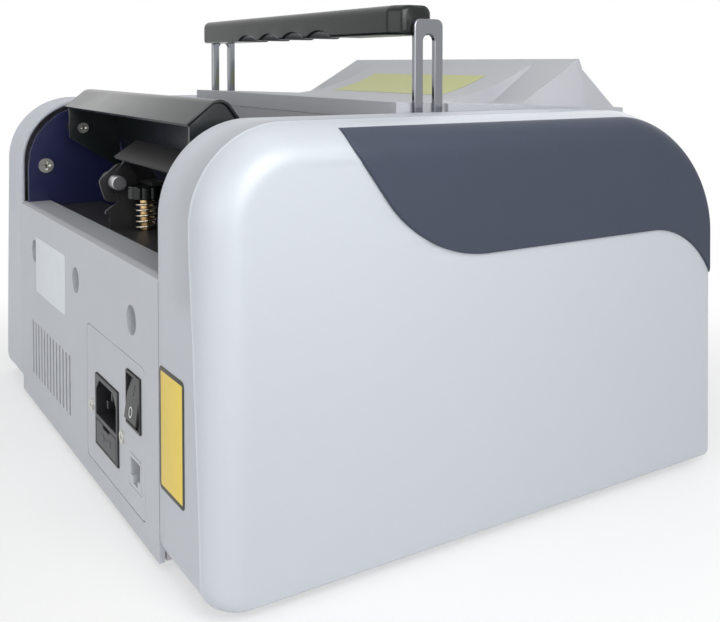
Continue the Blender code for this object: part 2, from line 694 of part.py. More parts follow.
def make_connector_panel():
    """The flush plate that holds the inlet, switch and telephone-type jack."""
    edge = CLEARANCE
    outer = rounded([(PANEL_LOW_X + edge, PANEL_LOW_Z + edge, PANEL_CORNER),
                     (PANEL_HIGH_X - edge, PANEL_LOW_Z + edge, PANEL_CORNER),
                     (PANEL_HIGH_X - edge, PANEL_HIGH_Z - edge, PANEL_CORNER),
                     (PANEL_LOW_X + edge, PANEL_HIGH_Z - edge, PANEL_CORNER)], 2)
    holes = [rectangle(INLET_LOW_X - edge, INLET_LOW_Z - edge, INLET_HIGH_X + edge, INLET_HIGH_Z + edge),
             rectangle(SWITCH_LOW_X - edge, SWITCH_LOW_Z - edge, SWITCH_HIGH_X + edge, SWITCH_HIGH_Z + edge),
             rectangle(JACK_LOW_X - edge, JACK_LOW_Z - edge, JACK_HIGH_X + edge, JACK_HIGH_Z + edge)]
    return add_object("connector_panel", plate_mesh([outer, *holes], REAR_Y - SHELL_WALL, REAR_Y, "Y"), "rear_grey")


def make_inlet():
    """Mains inlet: a chamfered socket with three blades above a bay for the fuse drawer."""
    back = REAR_Y - INLET_DEPTH
    face = REAR_Y + INLET_PROUD
    body = rectangle(INLET_LOW_X, INLET_LOW_Z, INLET_HIGH_X, INLET_HIGH_Z)
    inlet = add_object("power_inlet", plate_mesh([body], back, face, "Y"), "black")
    left = INLET_LOW_X + INLET_WALL
    right = INLET_HIGH_X - INLET_WALL
    top = INLET_HIGH_Z - INLET_WALL
    socket = [(left, SOCKET_LOW_Z), (right, SOCKET_LOW_Z), (right, top - INLET_CHAMFER), (right - INLET_CHAMFER, top),
              (left + INLET_CHAMFER, top), (left, top - INLET_CHAMFER)]
    cut(inlet, plate_mesh([socket], REAR_Y - SOCKET_DEPTH, face + OVERRUN, "Y"))
    bay_top = SOCKET_LOW_Z - INLET_WALL
    bay = rectangle(left, INLET_LOW_Z + INLET_WALL / 2, right, bay_top)
    cut(inlet, plate_mesh([bay], REAR_Y - DRAWER_DEPTH - CLEARANCE, face + OVERRUN, "Y"))
    middle_x = (left + right) / 2
    middle_z = (SOCKET_LOW_Z + top) / 2
    root = REAR_Y - SOCKET_DEPTH - INLET_WALL
    tip = REAR_Y - SOCKET_DEPTH + PIN_LENGTH
    for dx, dz in ((-1, -0.35), (0, 0.45), (1, -0.35)):
        x = middle_x + dx * PIN_SPREAD
        z = middle_z + dz * PIN_SPREAD
        fuse(inlet, box_mesh((x - PIN_WIDTH / 2, root, z - PIN_HEIGHT / 2), (x + PIN_WIDTH / 2, tip, z + PIN_HEIGHT / 2)))
    return inlet


def make_fuse_drawer():
    """The fuse holder that slides out of its bay towards the back."""
    left = INLET_LOW_X + INLET_WALL + CLEARANCE
    right = INLET_HIGH_X - INLET_WALL - CLEARANCE
    low = INLET_LOW_Z + INLET_WALL / 2 + CLEARANCE
    high = SOCKET_LOW_Z - INLET_WALL - CLEARANCE
    drawer = add_object("fuse_drawer", box_mesh((left, REAR_Y - DRAWER_DEPTH, low), (right, REAR_Y + INLET_PROUD, high)),
                        "black")
    pocket_wall = DRAWER_WALL
    cut(drawer, box_mesh((left + pocket_wall, REAR_Y - DRAWER_DEPTH + pocket_wall, low + pocket_wall),
                         (right - pocket_wall, REAR_Y - pocket_wall, high + OVERRUN)))
    lip = DRAWER_LIP
    middle = (left + right) / 2
    notch_half = DRAWER_NOTCH_HALF
    cut(drawer, box_mesh((middle - notch_half, REAR_Y - lip / 2, high - lip),
                         (middle + notch_half, REAR_Y + OVERRUN, high + OVERRUN)))
    return put_origin(drawer, (middle, REAR_Y, (low + high) / 2))


def make_switch():
    """The mains switch: a bezel that is open to the back and the rocker in it, on side pins."""
    edge = rectangle(SWITCH_LOW_X, SWITCH_LOW_Z, SWITCH_HIGH_X, SWITCH_HIGH_Z)
    inner = rectangle(SWITCH_LOW_X + SWITCH_WALL, SWITCH_LOW_Z + SWITCH_WALL,
                      SWITCH_HIGH_X - SWITCH_WALL, SWITCH_HIGH_Z - SWITCH_WALL)
    bezel = add_object("switch_bezel", plate_mesh([edge], REAR_Y - SWITCH_DEPTH, REAR_Y + SWITCH_LIP, "Y"), "black")
    cut(bezel, plate_mesh([inner], REAR_Y - SWITCH_DEPTH + SHELL_WALL, REAR_Y + SWITCH_LIP + OVERRUN, "Y"))
    pivot = (REAR_Y - ROCKER_PIVOT_BEHIND, (SWITCH_LOW_Z + SWITCH_HIGH_Z) / 2)
    keel = ROCKER_KEEL
    profile = [(REAR_Y - ROCKER_SINK, pivot[1] + ROCKER_HALF), (REAR_Y + ROCKER_SINK, pivot[1]),
               (REAR_Y + ROCKER_PROUD, pivot[1] - ROCKER_HALF * 0.94), (REAR_Y - ROCKER_PIVOT_BEHIND, pivot[1] - ROCKER_HALF),
               (REAR_Y - keel, pivot[1] - ROCKER_HALF / 3), (REAR_Y - keel, pivot[1] + ROCKER_HALF / 3),
               (REAR_Y - ROCKER_PIVOT_BEHIND, pivot[1] + ROCKER_HALF)]
    low = SWITCH_LOW_X + SWITCH_WALL + CLEARANCE
    high = SWITCH_HIGH_X - SWITCH_WALL - CLEARANCE
    rocker = add_object("power_rocker", plate_mesh([profile], low, high), "black_gloss")
    put_origin(rocker, ((low + high) / 2, *pivot))
    return bezel


def make_phone_jack():
    """A modular jack with its stepped latch slot."""
    body = rectangle(JACK_LOW_X, JACK_LOW_Z, JACK_HIGH_X, JACK_HIGH_Z)
    jack = add_object("data_jack", plate_mesh([body], REAR_Y - JACK_DEPTH, REAR_Y, "Y"), "black")
    left = JACK_LOW_X + JACK_WALL
    right = JACK_HIGH_X - JACK_WALL
    top = JACK_HIGH_Z - JACK_WALL
    low = JACK_LOW_Z + JACK_WALL
    middle = (left + right) / 2
    bottom = REAR_Y - JACK_DEPTH + JACK_WALL
    cut(jack, box_mesh((left, bottom, low + JACK_KEY), (right, REAR_Y + OVERRUN, top)))
    cut(jack, box_mesh((middle - JACK_KEY, bottom + JACK_KEY, low), (middle + JACK_KEY, REAR_Y + 2 * OVERRUN, top - JACK_KEY)))
    return jack


# Top cover
DECK_FALL = 5.6 * MM
DECK_FRONT_FROM_FRONT = 11 * MM
DECK_FRONT_Y = FRONT_Y + DECK_FRONT_FROM_FRONT
LEDGE_BOTTOM_Z = FRAME_TOP_Z + CLEARANCE
CHEEK_REAR_FROM_FRONT = 74 * MM
CHEEK_REAR_Y = FRONT_Y + CHEEK_REAR_FROM_FRONT
RAMP_START_FROM_FRONT = 108 * MM
RAMP_START_Y = FRONT_Y + RAMP_START_FROM_FRONT
FLANK_START_FROM_FRONT = 78 * MM
FLANK_START_Y = FRONT_Y + FLANK_START_FROM_FRONT
FACET_START_FROM_FRONT = 71 * MM
FACET_START_Y = FRONT_Y + FACET_START_FROM_FRONT
SHOULDER_FROM_FRONT = 34.5 * MM
SHOULDER_RISE = 20 * MM
SHOULDER = (FRONT_Y + SHOULDER_FROM_FRONT, TOP_Z + SHOULDER_RISE)
FLANK_FOOT_FROM_RIM = 1.7 * MM
FLANK_FOOT_X = RIM_X - FLANK_FOOT_FROM_RIM
HUMP_TOP_FROM_RIM = 7.2 * MM
HUMP_TOP_X = RIM_X - HUMP_TOP_FROM_RIM
RAMP_HALF_WIDTH = 83 * MM
CRESCENT_LEAN = 1.5 * MM
FASCIA_BOTTOM_DROP = 30 * MM
FASCIA_BOTTOM_Z = TOP_Z - FASCIA_BOTTOM_DROP
RAMP_POWER = 1.8
RAMP_SHARES = (0, 0.4, 0.75, 1)
FACET_SHARES = (0, 0.33, 0.67, 1)
NOTCH_GAP = 3 * MM


def deck_z(y):
    """Height of the flat deck, which falls gently to the front."""
    share = (HOPPER_WALL_Y - y) / (HOPPER_WALL_Y - DECK_FRONT_Y)
    return HOPPER_WALL_TOP_Z - DECK_FALL * share


def facet_z(y, start_y):
    """Height of the steep plane that rises from the deck at its start."""
    start = deck_z(start_y)
    share = (start_y - y) / (start_y - RIDGE_Y)
    return max(start + (RIDGE_Z - start) * share, deck_z(y))


def ramp_z(y):
    """Height of the dished ramp up to the ridge."""
    start = deck_z(RAMP_START_Y)
    share = (RAMP_START_Y - y) / (RAMP_START_Y - RIDGE_Y)
    return start + (RIDGE_Z - start) * share ** RAMP_POWER


def top_section(x, kind, inset):
    """One ring of the top cover: flat at its rims, faceted beside the ramp, dished in the middle."""
    rear = HOPPER_WALL_Y - inset
    front = DECK_FRONT_Y + inset
    low = FASCIA_BOTTOM_Z - (OVERRUN if inset else 0)
    rear_low = low if inset else LEDGE_BOTTOM_Z
    stations = [RAMP_START_Y + (FLANK_START_Y - RAMP_START_Y) * share for share in RAMP_SHARES]
    stations += [FACET_START_Y + (RIDGE_Y - FACET_START_Y) * share for share in FACET_SHARES]
    points = [(CHEEK_REAR_Y, low), (CHEEK_REAR_Y, rear_low)] if not inset else []
    points += [(rear, rear_low), (rear, HOPPER_WALL_TOP_Z - inset)]
    for y in stations:
        flat = deck_z(y)
        height = {"rim": flat, "flank": facet_z(y, FLANK_START_Y), "facet": facet_z(y, FACET_START_Y),
                  "ramp": ramp_z(y)}[kind]
        points.append((y, height - inset))
    shoulder_y = SHOULDER[0] + inset / 2
    points.append((shoulder_y, (deck_z(shoulder_y) if kind == "rim" else SHOULDER[1]) - inset))
    points += [(front, deck_z(DECK_FRONT_Y) - inset), (front, low)]
    return [(x, y, z) for y, z in points]


def top_block(inset=0):
    """The closed outer form of the top cover, or its hollow when it is inset."""
    places = [(RIM_X - inset, "rim"), (FLANK_FOOT_X - inset, "rim"), (HUMP_TOP_X - inset, "flank"),
              (RAMP_HALF_WIDTH + CRESCENT_LEAN - inset, "facet"), (RAMP_HALF_WIDTH - inset, "ramp")]
    rings = [top_section(-x, kind, inset) for x, kind in places]
    rings += [top_section(x, kind, inset) for x, kind in places[::-1]]
    return loft_mesh(rings)


def make_top_cover():
    """The grey lid: hopper wall, deck, dished ramp, display slope and the ledges beside the rims."""
    cover = add_object("top_cover", top_block(), "grey")
    cut(cover, top_block(SHELL_WALL))
    fuse(cover, box_mesh((-BETWEEN_FRAMES, HOPPER_WALL_Y - SHELL_WALL + CLEARANCE, BED_TOP_Z - OVERRUN),
                         (BETWEEN_FRAMES, HOPPER_WALL_Y - CLEARANCE, LEDGE_BOTTOM_Z + OVERRUN)))
    half = ARM_WIDTH / 2 + NOTCH_GAP
    for side in (-1, 1):
        wall_x = side * (ARM_INNER_X - CLEARANCE)
        low_x, high_x = sorted((wall_x - side * SHELL_WALL, side * (RIM_X - SHELL_WALL / 2)))
        fuse(cover, box_mesh((low_x, ARM_CENTRE_Y - half - SHELL_WALL, LEDGE_BOTTOM_Z + CLEARANCE),
                             (high_x, ARM_CENTRE_Y + half + SHELL_WALL, deck_z(ARM_CENTRE_Y) - SHELL_WALL / 2)))
        low_x, high_x = sorted((wall_x, side * (RIM_X + OVERRUN)))
        cut(cover, box_mesh((low_x, ARM_CENTRE_Y - half, LEDGE_BOTTOM_Z - OVERRUN),
                            (high_x, ARM_CENTRE_Y + half, HOPPER_WALL_TOP_Z + OVERRUN)))
    for shape in panel_openings():
        cut(cover, shape)
    return cover


# Display and keys on the front slope
WINDOW_WIDTH = 76 * MM
WINDOW_HEIGHT = 17 * MM
WINDOW_X = -42 * MM
WINDOW_THICKNESS = 2 * MM
KEY_COUNT = 4
KEY_WIDTH = 15 * MM
KEY_HEIGHT = 9 * MM
KEY_PITCH = 22 * MM
KEY_START_X = 24 * MM
KEY_DEPTH = 5 * MM
KEY_RAISE = 1.5 * MM
KEY_NAMES = ("key_mode", "key_minus", "key_plus", "key_reset")
SLOPE_TOP = Vector((0, *SHOULDER))
SLOPE_FOOT = Vector((0, DECK_FRONT_Y, HOPPER_WALL_TOP_Z - DECK_FALL))


def slope_frame(x):
    """A matrix on the middle of the display slope: X across, Y up the slope, Z out of it."""
    up = (SLOPE_TOP - SLOPE_FOOT).normalized()
    across = Vector((1, 0, 0))
    out = across.cross(up)
    matrix = Matrix((across, up, out)).transposed().to_4x4()
    return Matrix.Translation((SLOPE_TOP + SLOPE_FOOT) / 2 + Vector((x, 0, 0))) @ matrix


def slope_box(x, width, height, low, high):
    """A box that stands square on the display slope."""
    mesh = box_mesh((-width / 2, -height / 2, low), (width / 2, height / 2, high))
    mesh.transform(slope_frame(x))
    return mesh


def key_x(index):
    """Place of a key along the slope."""
    return KEY_START_X + index * KEY_PITCH


def panel_openings():
    """Cutters for the display window and the keys."""
    reach = SHELL_WALL * 3
    yield slope_box(WINDOW_X, WINDOW_WIDTH, WINDOW_HEIGHT, -reach, reach)
    for index in range(KEY_COUNT):
        yield slope_box(key_x(index), KEY_WIDTH, KEY_HEIGHT, -reach, reach)


def make_display():
    """The tinted window and four sprung keys."""
    window = slope_box(WINDOW_X, WINDOW_WIDTH - 2 * CLEARANCE, WINDOW_HEIGHT - 2 * CLEARANCE,
                       -WINDOW_THICKNESS, 0)
    add_object("display_window", window, "window")
    for index, name in enumerate(KEY_NAMES):
        mesh = slope_box(key_x(index), KEY_WIDTH - 2 * CLEARANCE, KEY_HEIGHT - 2 * CLEARANCE,
                         KEY_RAISE - KEY_DEPTH, KEY_RAISE)
        key = add_object(name, mesh, "key")
        put_origin(key, slope_frame(key_x(index)).translation)


# Hopper: rear plate with its hood, bed and side guides
HOOD_INSET = 18.4 * MM
HOOD_HALF_WIDTH = FRAME_OUTER_X - HOOD_INSET
HOOD_LIP_FROM_REAR = 20.6 * MM
HOOD_LIP_DROP = 3.4 * MM
HOOD_LIP = (REAR_Y - HOOD_LIP_FROM_REAR, TOP_Z - HOOD_LIP_DROP)
HOOD_CREST_FROM_REAR = 36.8 * MM
HOOD_CREST_RISE = 9.9 * MM
HOOD_CREST = (REAR_Y - HOOD_CREST_FROM_REAR, TOP_Z + HOOD_CREST_RISE)
HOOD_CREST_RADIUS = 7 * MM
PLATE_BEND_FROM_REAR = 50 * MM
PLATE_BEND_DROP = 8 * MM
PLATE_BEND = (REAR_Y - PLATE_BEND_FROM_REAR, TOP_Z - PLATE_BEND_DROP)
PLATE_BEND_RADIUS = 55 * MM
PLATE_FOOT_FROM_REAR = 62.5 * MM
PLATE_FOOT_DROP = 53 * MM
PLATE_FOOT = (REAR_Y - PLATE_FOOT_FROM_REAR, TOP_Z - PLATE_FOOT_DROP)
CHEEK_INSET = 1.2 * MM
CHEEK_START_SHARE = 0.12
CHEEK_LOW_REAR_FROM_REAR = 22.5 * MM
CHEEK_LOW_REAR_DROP = 22 * MM
CHEEK_LOW_REAR = (REAR_Y - CHEEK_LOW_REAR_FROM_REAR, TOP_Z - CHEEK_LOW_REAR_DROP)
CHEEK_LOW_FRONT_FROM_REAR = 54 * MM
CHEEK_LOW_FRONT_DROP = 43 * MM
CHEEK_LOW_FRONT = (REAR_Y - CHEEK_LOW_FRONT_FROM_REAR, TOP_Z - CHEEK_LOW_FRONT_DROP)
STANDOFF_RADIUS = 5 * MM
STANDOFF_PLACE_FROM_REAR = 30.5 * MM
STANDOFF_PLACE_DROP = 16.5 * MM
STANDOFF_PLACE = (REAR_Y - STANDOFF_PLACE_FROM_REAR, TOP_Z - STANDOFF_PLACE_DROP)
BED_TOP_DROP = 30 * MM
BED_TOP_Z = TOP_Z - BED_TOP_DROP
BED_FRONT_Y = HOPPER_WALL_Y
BED_REAR_FROM_REAR = 73 * MM
BED_REAR_DROP = 50.5 * MM
BED_REAR = (REAR_Y - BED_REAR_FROM_REAR, TOP_Z - BED_REAR_DROP)
WHEEL_WIDTH = 12 * MM
WHEEL_X = 24 * MM
PICK_UP_X = 46 * MM
GUIDE_X = 93 * MM
GUIDE_THICKNESS = 2.5 * MM
GUIDE_HEIGHT = 17 * MM
GUIDE_END_GAP = 3 * MM
GUIDE_FOOT_WIDTH = 14 * MM
BED_FLANGE = 8 * MM
BED_SLOT_LENGTH = 15 * MM
BED_SLOT_GAP = 1.5 * MM


def open_path(corners, steps=5):
    """An open path with its inner corners rounded and its two ends kept."""
    points = rounded(corners, steps)
    return points


def make_hopper_plate():
    """The glossy bent sheet behind the notes, with end cheeks and standoffs to the frames."""
    path = open_path([(*HOOD_LIP, 0), (*HOOD_CREST, HOOD_CREST_RADIUS), (*PLATE_BEND, PLATE_BEND_RADIUS),
                      (*PLATE_FOOT, 0)])
    half = HOOD_HALF_WIDTH
    plate = add_object("hopper_plate", plate_mesh([strip(path, SHEET)], -half, half), "black_gloss")
    inner = strip(path, SHEET / 2)[len(path):][::-1]
    start = tuple(Vector(inner[0]).lerp(Vector(inner[1]), CHEEK_START_SHARE))
    middles = [tuple(Vector(a).lerp(Vector(b), 0.5)) for a, b in zip(inner, inner[1:])]
    outline = [start] + middles[1:-1] + [inner[-2], CHEEK_LOW_FRONT, CHEEK_LOW_REAR]
    for side in (-1, 1):
        outer_x = side * (half - CHEEK_INSET)
        low, high = sorted((outer_x, outer_x - side * SHEET))
        fuse(plate, plate_mesh([outline], low, high))
        low, high = sorted((outer_x - side * SHEET / 2, side * BETWEEN_FRAMES))
        fuse(plate, rod_mesh(STANDOFF_RADIUS, low, high, "X", STANDOFF_PLACE, 16))
    return plate


def bed_z(y):
    """Height of the sloping hopper bed."""
    share = (y - BED_FRONT_Y) / (BED_REAR[0] - BED_FRONT_Y)
    return BED_TOP_Z + (BED_REAR[1] - BED_TOP_Z) * share


def make_hopper_bed():
    """The sheet that notes lie on, slotted for the wheels, with flanges down at the frames."""
    front = BED_FRONT_Y + CLEARANCE
    path = [(BED_REAR[0], BED_REAR[1]), (front, bed_z(front)), (front, bed_z(front) - BED_FLANGE)]
    bed = add_object("hopper_bed", plate_mesh([strip(path, SHEET)], -BETWEEN_FRAMES, BETWEEN_FRAMES), "black")
    slot = WHEEL_WIDTH / 2 + BED_SLOT_GAP
    for side in (-1, 1):
        x = side * PICK_UP_X
        cut(bed, box_mesh((x - slot, PICK_UP_AXIS[0] - BED_SLOT_LENGTH / 2, BED_REAR[1] - 2 * OVERRUN),
                          (x + slot, BED_REAR[0] + OVERRUN, BED_TOP_Z)))
    return bed


def make_hopper_guides():
    """Two upright fences that slide along the bed to the width of the notes."""
    for side, name in ((-1, "left"), (1, "right")):
        front = BED_FRONT_Y + GUIDE_END_GAP
        rear = BED_REAR[0] - GUIDE_END_GAP
        lift = CLEARANCE
        foot = [(front, bed_z(front) + lift), (rear, bed_z(rear) + lift),
                (rear, bed_z(rear) + GUIDE_HEIGHT), (front, bed_z(front) + GUIDE_HEIGHT)]
        low, high = sorted((side * GUIDE_X, side * (GUIDE_X + GUIDE_THICKNESS)))
        guide = add_object(f"hopper_guide_{name}", plate_mesh([foot], low, high), "black")
        flange = [(front, bed_z(front) + lift), (rear, bed_z(rear) + lift),
                  (rear, bed_z(rear) + lift + SHEET), (front, bed_z(front) + lift + SHEET)]
        low, high = sorted((side * (GUIDE_X + GUIDE_THICKNESS / 2), side * (GUIDE_X + GUIDE_FOOT_WIDTH)))
        fuse(guide, plate_mesh([flange], low, high))
        put_origin(guide, (side * GUIDE_X, (front + rear) / 2, bed_z((front + rear) / 2)))


# Handle
GRIP_BEVEL = 3.2 * MM
GROOVES = 4
GROOVE_PITCH = 30 * MM
GROOVE_RADIUS = 26 * MM
GROOVE_DEPTH = 3 * MM
GRIP_END_LENGTH = 7 * MM
GRIP_END_DEPTH = 5 * MM
TAB_LENGTH = 15 * MM
ARM_CORNER = 3 * MM


def make_handle():
    """Two slotted chrome arms with tabs turned in under a grooved black grip."""
    rear = GRIP_CENTRE_Y + GRIP_WIDTH / 2
    front = GRIP_CENTRE_Y - GRIP_WIDTH / 2
    section = rounded([(rear, GRIP_BOTTOM_Z, GRIP_BEVEL / 2), (front, GRIP_BOTTOM_Z, GRIP_BEVEL / 2),
                       (front, GRIP_TOP_Z, GRIP_BEVEL * 1.4), (rear, GRIP_TOP_Z, GRIP_BEVEL * 1.4)], 3)
    half = ARM_INNER_X - CLEARANCE
    grip = add_object("handle_grip", plate_mesh([section], -half, half), "black_gloss")
    for i in range(GROOVES):
        x = (i - (GROOVES - 1) / 2) * GROOVE_PITCH
        centre = (x, GRIP_BOTTOM_Z - GROOVE_RADIUS + GROOVE_DEPTH)
        cut(grip, rod_mesh(GROOVE_RADIUS, front - OVERRUN, rear + OVERRUN, "Y", centre, 48))
    pocket = CLEARANCE
    tab_low = ARM_TOP_Z - ARM_THICKNESS
    tab_half = ARM_WIDTH / 2 - ARM_CORNER
    for side in (-1, 1):
        low, high = sorted((side * (half - TAB_LENGTH - pocket), side * (half + OVERRUN)))
        cut(grip, box_mesh((low, ARM_CENTRE_Y - tab_half - pocket, GRIP_BOTTOM_Z - OVERRUN),
                           (high, ARM_CENTRE_Y + tab_half + pocket, ARM_TOP_Z + pocket)))
        slant = [(side * (half - 2 * GRIP_END_LENGTH), rear + GRIP_END_DEPTH),
                 (side * (half + GRIP_END_LENGTH), rear - 2 * GRIP_END_DEPTH),
                 (side * (half + GRIP_END_LENGTH), rear + GRIP_END_DEPTH)]
        cut(grip, plate_mesh([slant], GRIP_BOTTOM_Z - OVERRUN, GRIP_TOP_Z + OVERRUN, "Z"))
    grip_centre = (0, GRIP_CENTRE_Y, GRIP_BOTTOM_Z)
    put_origin(grip, grip_centre)
    arm_rear = ARM_CENTRE_Y + ARM_WIDTH / 2
    arm_front = ARM_CENTRE_Y - ARM_WIDTH / 2
    edge = rounded([(arm_rear, ARM_BOTTOM_Z, ARM_CORNER), (arm_rear, ARM_TOP_Z, ARM_CORNER),
                    (arm_front, ARM_TOP_Z, ARM_CORNER), (arm_front, ARM_BOTTOM_Z, ARM_CORNER)], 3)
    radius = ARM_SLOT / 2
    slot_low = GUIDE_PIN_Z
    slot_high = GRIP_BOTTOM_Z - radius + CLEARANCE
    slot = arc((ARM_CENTRE_Y, slot_high), radius, 0, 180, 6) + arc((ARM_CENTRE_Y, slot_low), radius, 180, 360, 6)
    for side, name in ((-1, "left"), (1, "right")):
        low, high = sorted((side * ARM_INNER_X, side * (ARM_INNER_X + ARM_THICKNESS)))
        arm = add_object(f"handle_arm_{name}", plate_mesh([edge, slot], low, high), "chrome")
        low, high = sorted((side * (half - TAB_LENGTH), side * (ARM_INNER_X + ARM_THICKNESS / 2)))
        fuse(arm, box_mesh((low, ARM_CENTRE_Y - tab_half, tab_low), (high, ARM_CENTRE_Y + tab_half, ARM_TOP_Z)))
        put_origin(arm, (side * ARM_INNER_X, ARM_CENTRE_Y, ARM_TOP_Z))


# Shafts, wheels and pulleys
HUB_RADIUS = 7.5 * MM
HUB_EXTRA = 3 * MM
TREAD_EDGE = 0.8 * MM
SHAFT_END = 2 * MM
BORE = SHAFT_RADIUS + CLEARANCE
PULLEY_FLANGE = 1.2 * MM
PULLEY_LIP = 1.8 * MM
RIGHT_PULLEY_END = PULLEY_X + PULLEY_WIDTH / 2 + SHAFT_END


def shaft_mesh(axis, low, high, groove):
    """A plain shaft, or one with a flanged pulley of a groove radius turned on its right end."""
    if not groove:
        return rod_mesh(SHAFT_RADIUS, low, high, "X", axis, 16)
    half = PULLEY_WIDTH / 2
    lip = groove + PULLEY_LIP
    inner = PULLEY_X - half
    outer = PULLEY_X + half
    profile = [(0, high), (SHAFT_RADIUS, high), (SHAFT_RADIUS, outer), (lip, outer), (lip, outer - PULLEY_FLANGE),
               (groove, outer - PULLEY_FLANGE), (groove, inner + PULLEY_FLANGE), (lip, inner + PULLEY_FLANGE),
               (lip, inner), (SHAFT_RADIUS, inner), (SHAFT_RADIUS, low), (0, low)]
    return turned_mesh(profile, "X", axis, 20)


def wheel_mesh(axis, x, radius, width):
    """A tyred wheel with a smaller hub and a bore that clears the shaft."""
    half = width / 2
    hub = half + HUB_EXTRA
    tread = TREAD_EDGE
    profile = [(BORE, x + hub), (HUB_RADIUS, x + hub), (HUB_RADIUS, x + half), (radius - tread, x + half),
               (radius, x + half - tread), (radius, x - half + tread), (radius - tread, x - half),
               (HUB_RADIUS, x - half), (HUB_RADIUS, x - hub), (BORE, x - hub), (BORE, x + hub)]
    return turned_mesh(profile, "X", axis, 24)


def pulley_mesh(axis, x, radius, bore, stub=None):
    """A flanged pulley on a shaft, or one piece with a thin shaft stub."""
    half = PULLEY_WIDTH / 2
    lip = radius + PULLEY_LIP
    outside = [(lip, x + half), (lip, x + half - PULLEY_FLANGE), (radius, x + half - PULLEY_FLANGE),
               (radius, x - half + PULLEY_FLANGE), (lip, x - half + PULLEY_FLANGE), (lip, x - half)]
    if stub is None:
        profile = [(bore, x + half), *outside, (bore, x - half), (bore, x + half)]
    else:
        profile = [(0, stub), (bore, stub), (bore, x + half), *outside, (0, x - half)]
    return turned_mesh(profile, "X", axis, 24)


def make_drive():
    """Every shaft with its wheels and pulleys."""
    left_end = -RIGHT_PULLEY_END
    small = SMALL_PULLEY_RADIUS
    spans = {"pick_up": (PICK_UP_AXIS, -SHAFT_OUTER_X, RIGHT_PULLEY_END, small),
             "feed": (FEED_AXIS, left_end, RIGHT_PULLEY_END, small),
             "impeller": (IMPELLER_AXIS, left_end, SHAFT_OUTER_X, None)}
    for name, (axis, low, high, groove) in spans.items():
        shaft = add_object(f"{name}_shaft", shaft_mesh(axis, low, high, groove), "steel")
        put_origin(shaft, (0, *axis))
    counting = shaft_mesh((0, 0), -SHAFT_OUTER_X, RIGHT_PULLEY_END, COUNTING_PULLEY_RADIUS)
    counting.transform(Matrix.Rotation(pi, 4, "Z"))
    counting = add_object("counting_shaft", counting, "steel")
    counting.location = (0, *COUNTING_AXIS)
    wheels = (("pick_up", PICK_UP_AXIS, PICK_UP_RADIUS, PICK_UP_X, "rubber"),
              ("feed", FEED_AXIS, FEED_RADIUS, WHEEL_X, "blue_rubber"),
              ("counting", COUNTING_AXIS, COUNTING_RADIUS, WHEEL_X, "rubber"))
    for name, axis, radius, place, finish in wheels:
        for side, side_name in ((-1, "left"), (1, "right")):
            wheel = add_object(f"{name}_wheel_{side_name}", wheel_mesh(axis, side * place, radius, WHEEL_WIDTH), finish)
            put_origin(wheel, (side * place, *axis))
    feed_pulley = add_object("feed_pulley", pulley_mesh(FEED_AXIS, -PULLEY_X, FEED_PULLEY_RADIUS, BORE), "cream")
    put_origin(feed_pulley, (-PULLEY_X, *FEED_AXIS))
    impeller_pulley = add_object("impeller_pulley",
                                 pulley_mesh(IMPELLER_AXIS, -PULLEY_X, IMPELLER_PULLEY_RADIUS, BORE), "cream")
    put_origin(impeller_pulley, (-PULLEY_X, *IMPELLER_AXIS))
    motor_pulley = add_object("motor_pulley", pulley_mesh(MOTOR_AXIS, -PULLEY_X, MOTOR_PULLEY_RADIUS,
                                                          MOTOR_SHAFT_RADIUS, -FRAME_INNER_X), "steel")
    put_origin(motor_pulley, (-PULLEY_X, *MOTOR_AXIS))


# Impeller wheels with curved vanes
VANES = 12
VANE_THICKNESS = 1.3 * MM
VANE_HUB_RADIUS = 15 * MM
VANE_STEPS = 4
VANE_SWEEP = radians(62)
IMPELLER_X = 34 * MM
IMPELLER_WIDTH = 7 * MM


def impeller_outline():
    """One closed outline round the hub and all its swept vanes."""
    outline = []
    pitch = 2 * pi / VANES
    for i in range(VANES):
        base = i * pitch
        root = VANE_THICKNESS / VANE_HUB_RADIUS
        tip = VANE_THICKNESS / IMPELLER_RADIUS
        ahead = []
        behind = []
        for step in range(VANE_STEPS + 1):
            share = step / VANE_STEPS
            radius = VANE_HUB_RADIUS + (IMPELLER_RADIUS - VANE_HUB_RADIUS) * share
            angle = base + VANE_SWEEP * share ** 1.5
            half = (root + (tip - root) * share) / 2
            behind.append((radius, angle - half))
            ahead.append((radius, angle + half))
        outline += behind + ahead[::-1]
    return [(IMPELLER_AXIS[0] + r * cos(a), IMPELLER_AXIS[1] + r * sin(a)) for r, a in outline]


def make_impellers():
    """Two vaned wheels that lay the notes in the stacker."""
    half = IMPELLER_WIDTH / 2
    for side, name in ((-1, "left"), (1, "right")):
        x = side * IMPELLER_X
        outlines = [impeller_outline(), circle(IMPELLER_AXIS, BORE, 16)]
        wheel = add_object(f"impeller_wheel_{name}", plate_mesh(outlines, x - half, x + half), "blue_rubber")
        put_origin(wheel, (x, *IMPELLER_AXIS))


# Belts and motor
MOTOR_RADIUS = 20 * MM
MOTOR_LENGTH = 52 * MM
MOTOR_BASE_HALF = 14 * MM
MOTOR_BASE_INSET = 6 * MM


def belt_mesh(circles, x):
    """A closed belt round several pulleys, lying 0.3 mm off each."""
    inner = hull([p for axis, radius in circles for p in circle(axis, radius + CLEARANCE, 28)])
    outer = hull([p for axis, radius in circles for p in circle(axis, radius + CLEARANCE + BELT_THICKNESS, 28)])
    half = BELT_WIDTH / 2 - PULLEY_FLANGE / 2
    return plate_mesh([outer, inner], x - half, x + half)


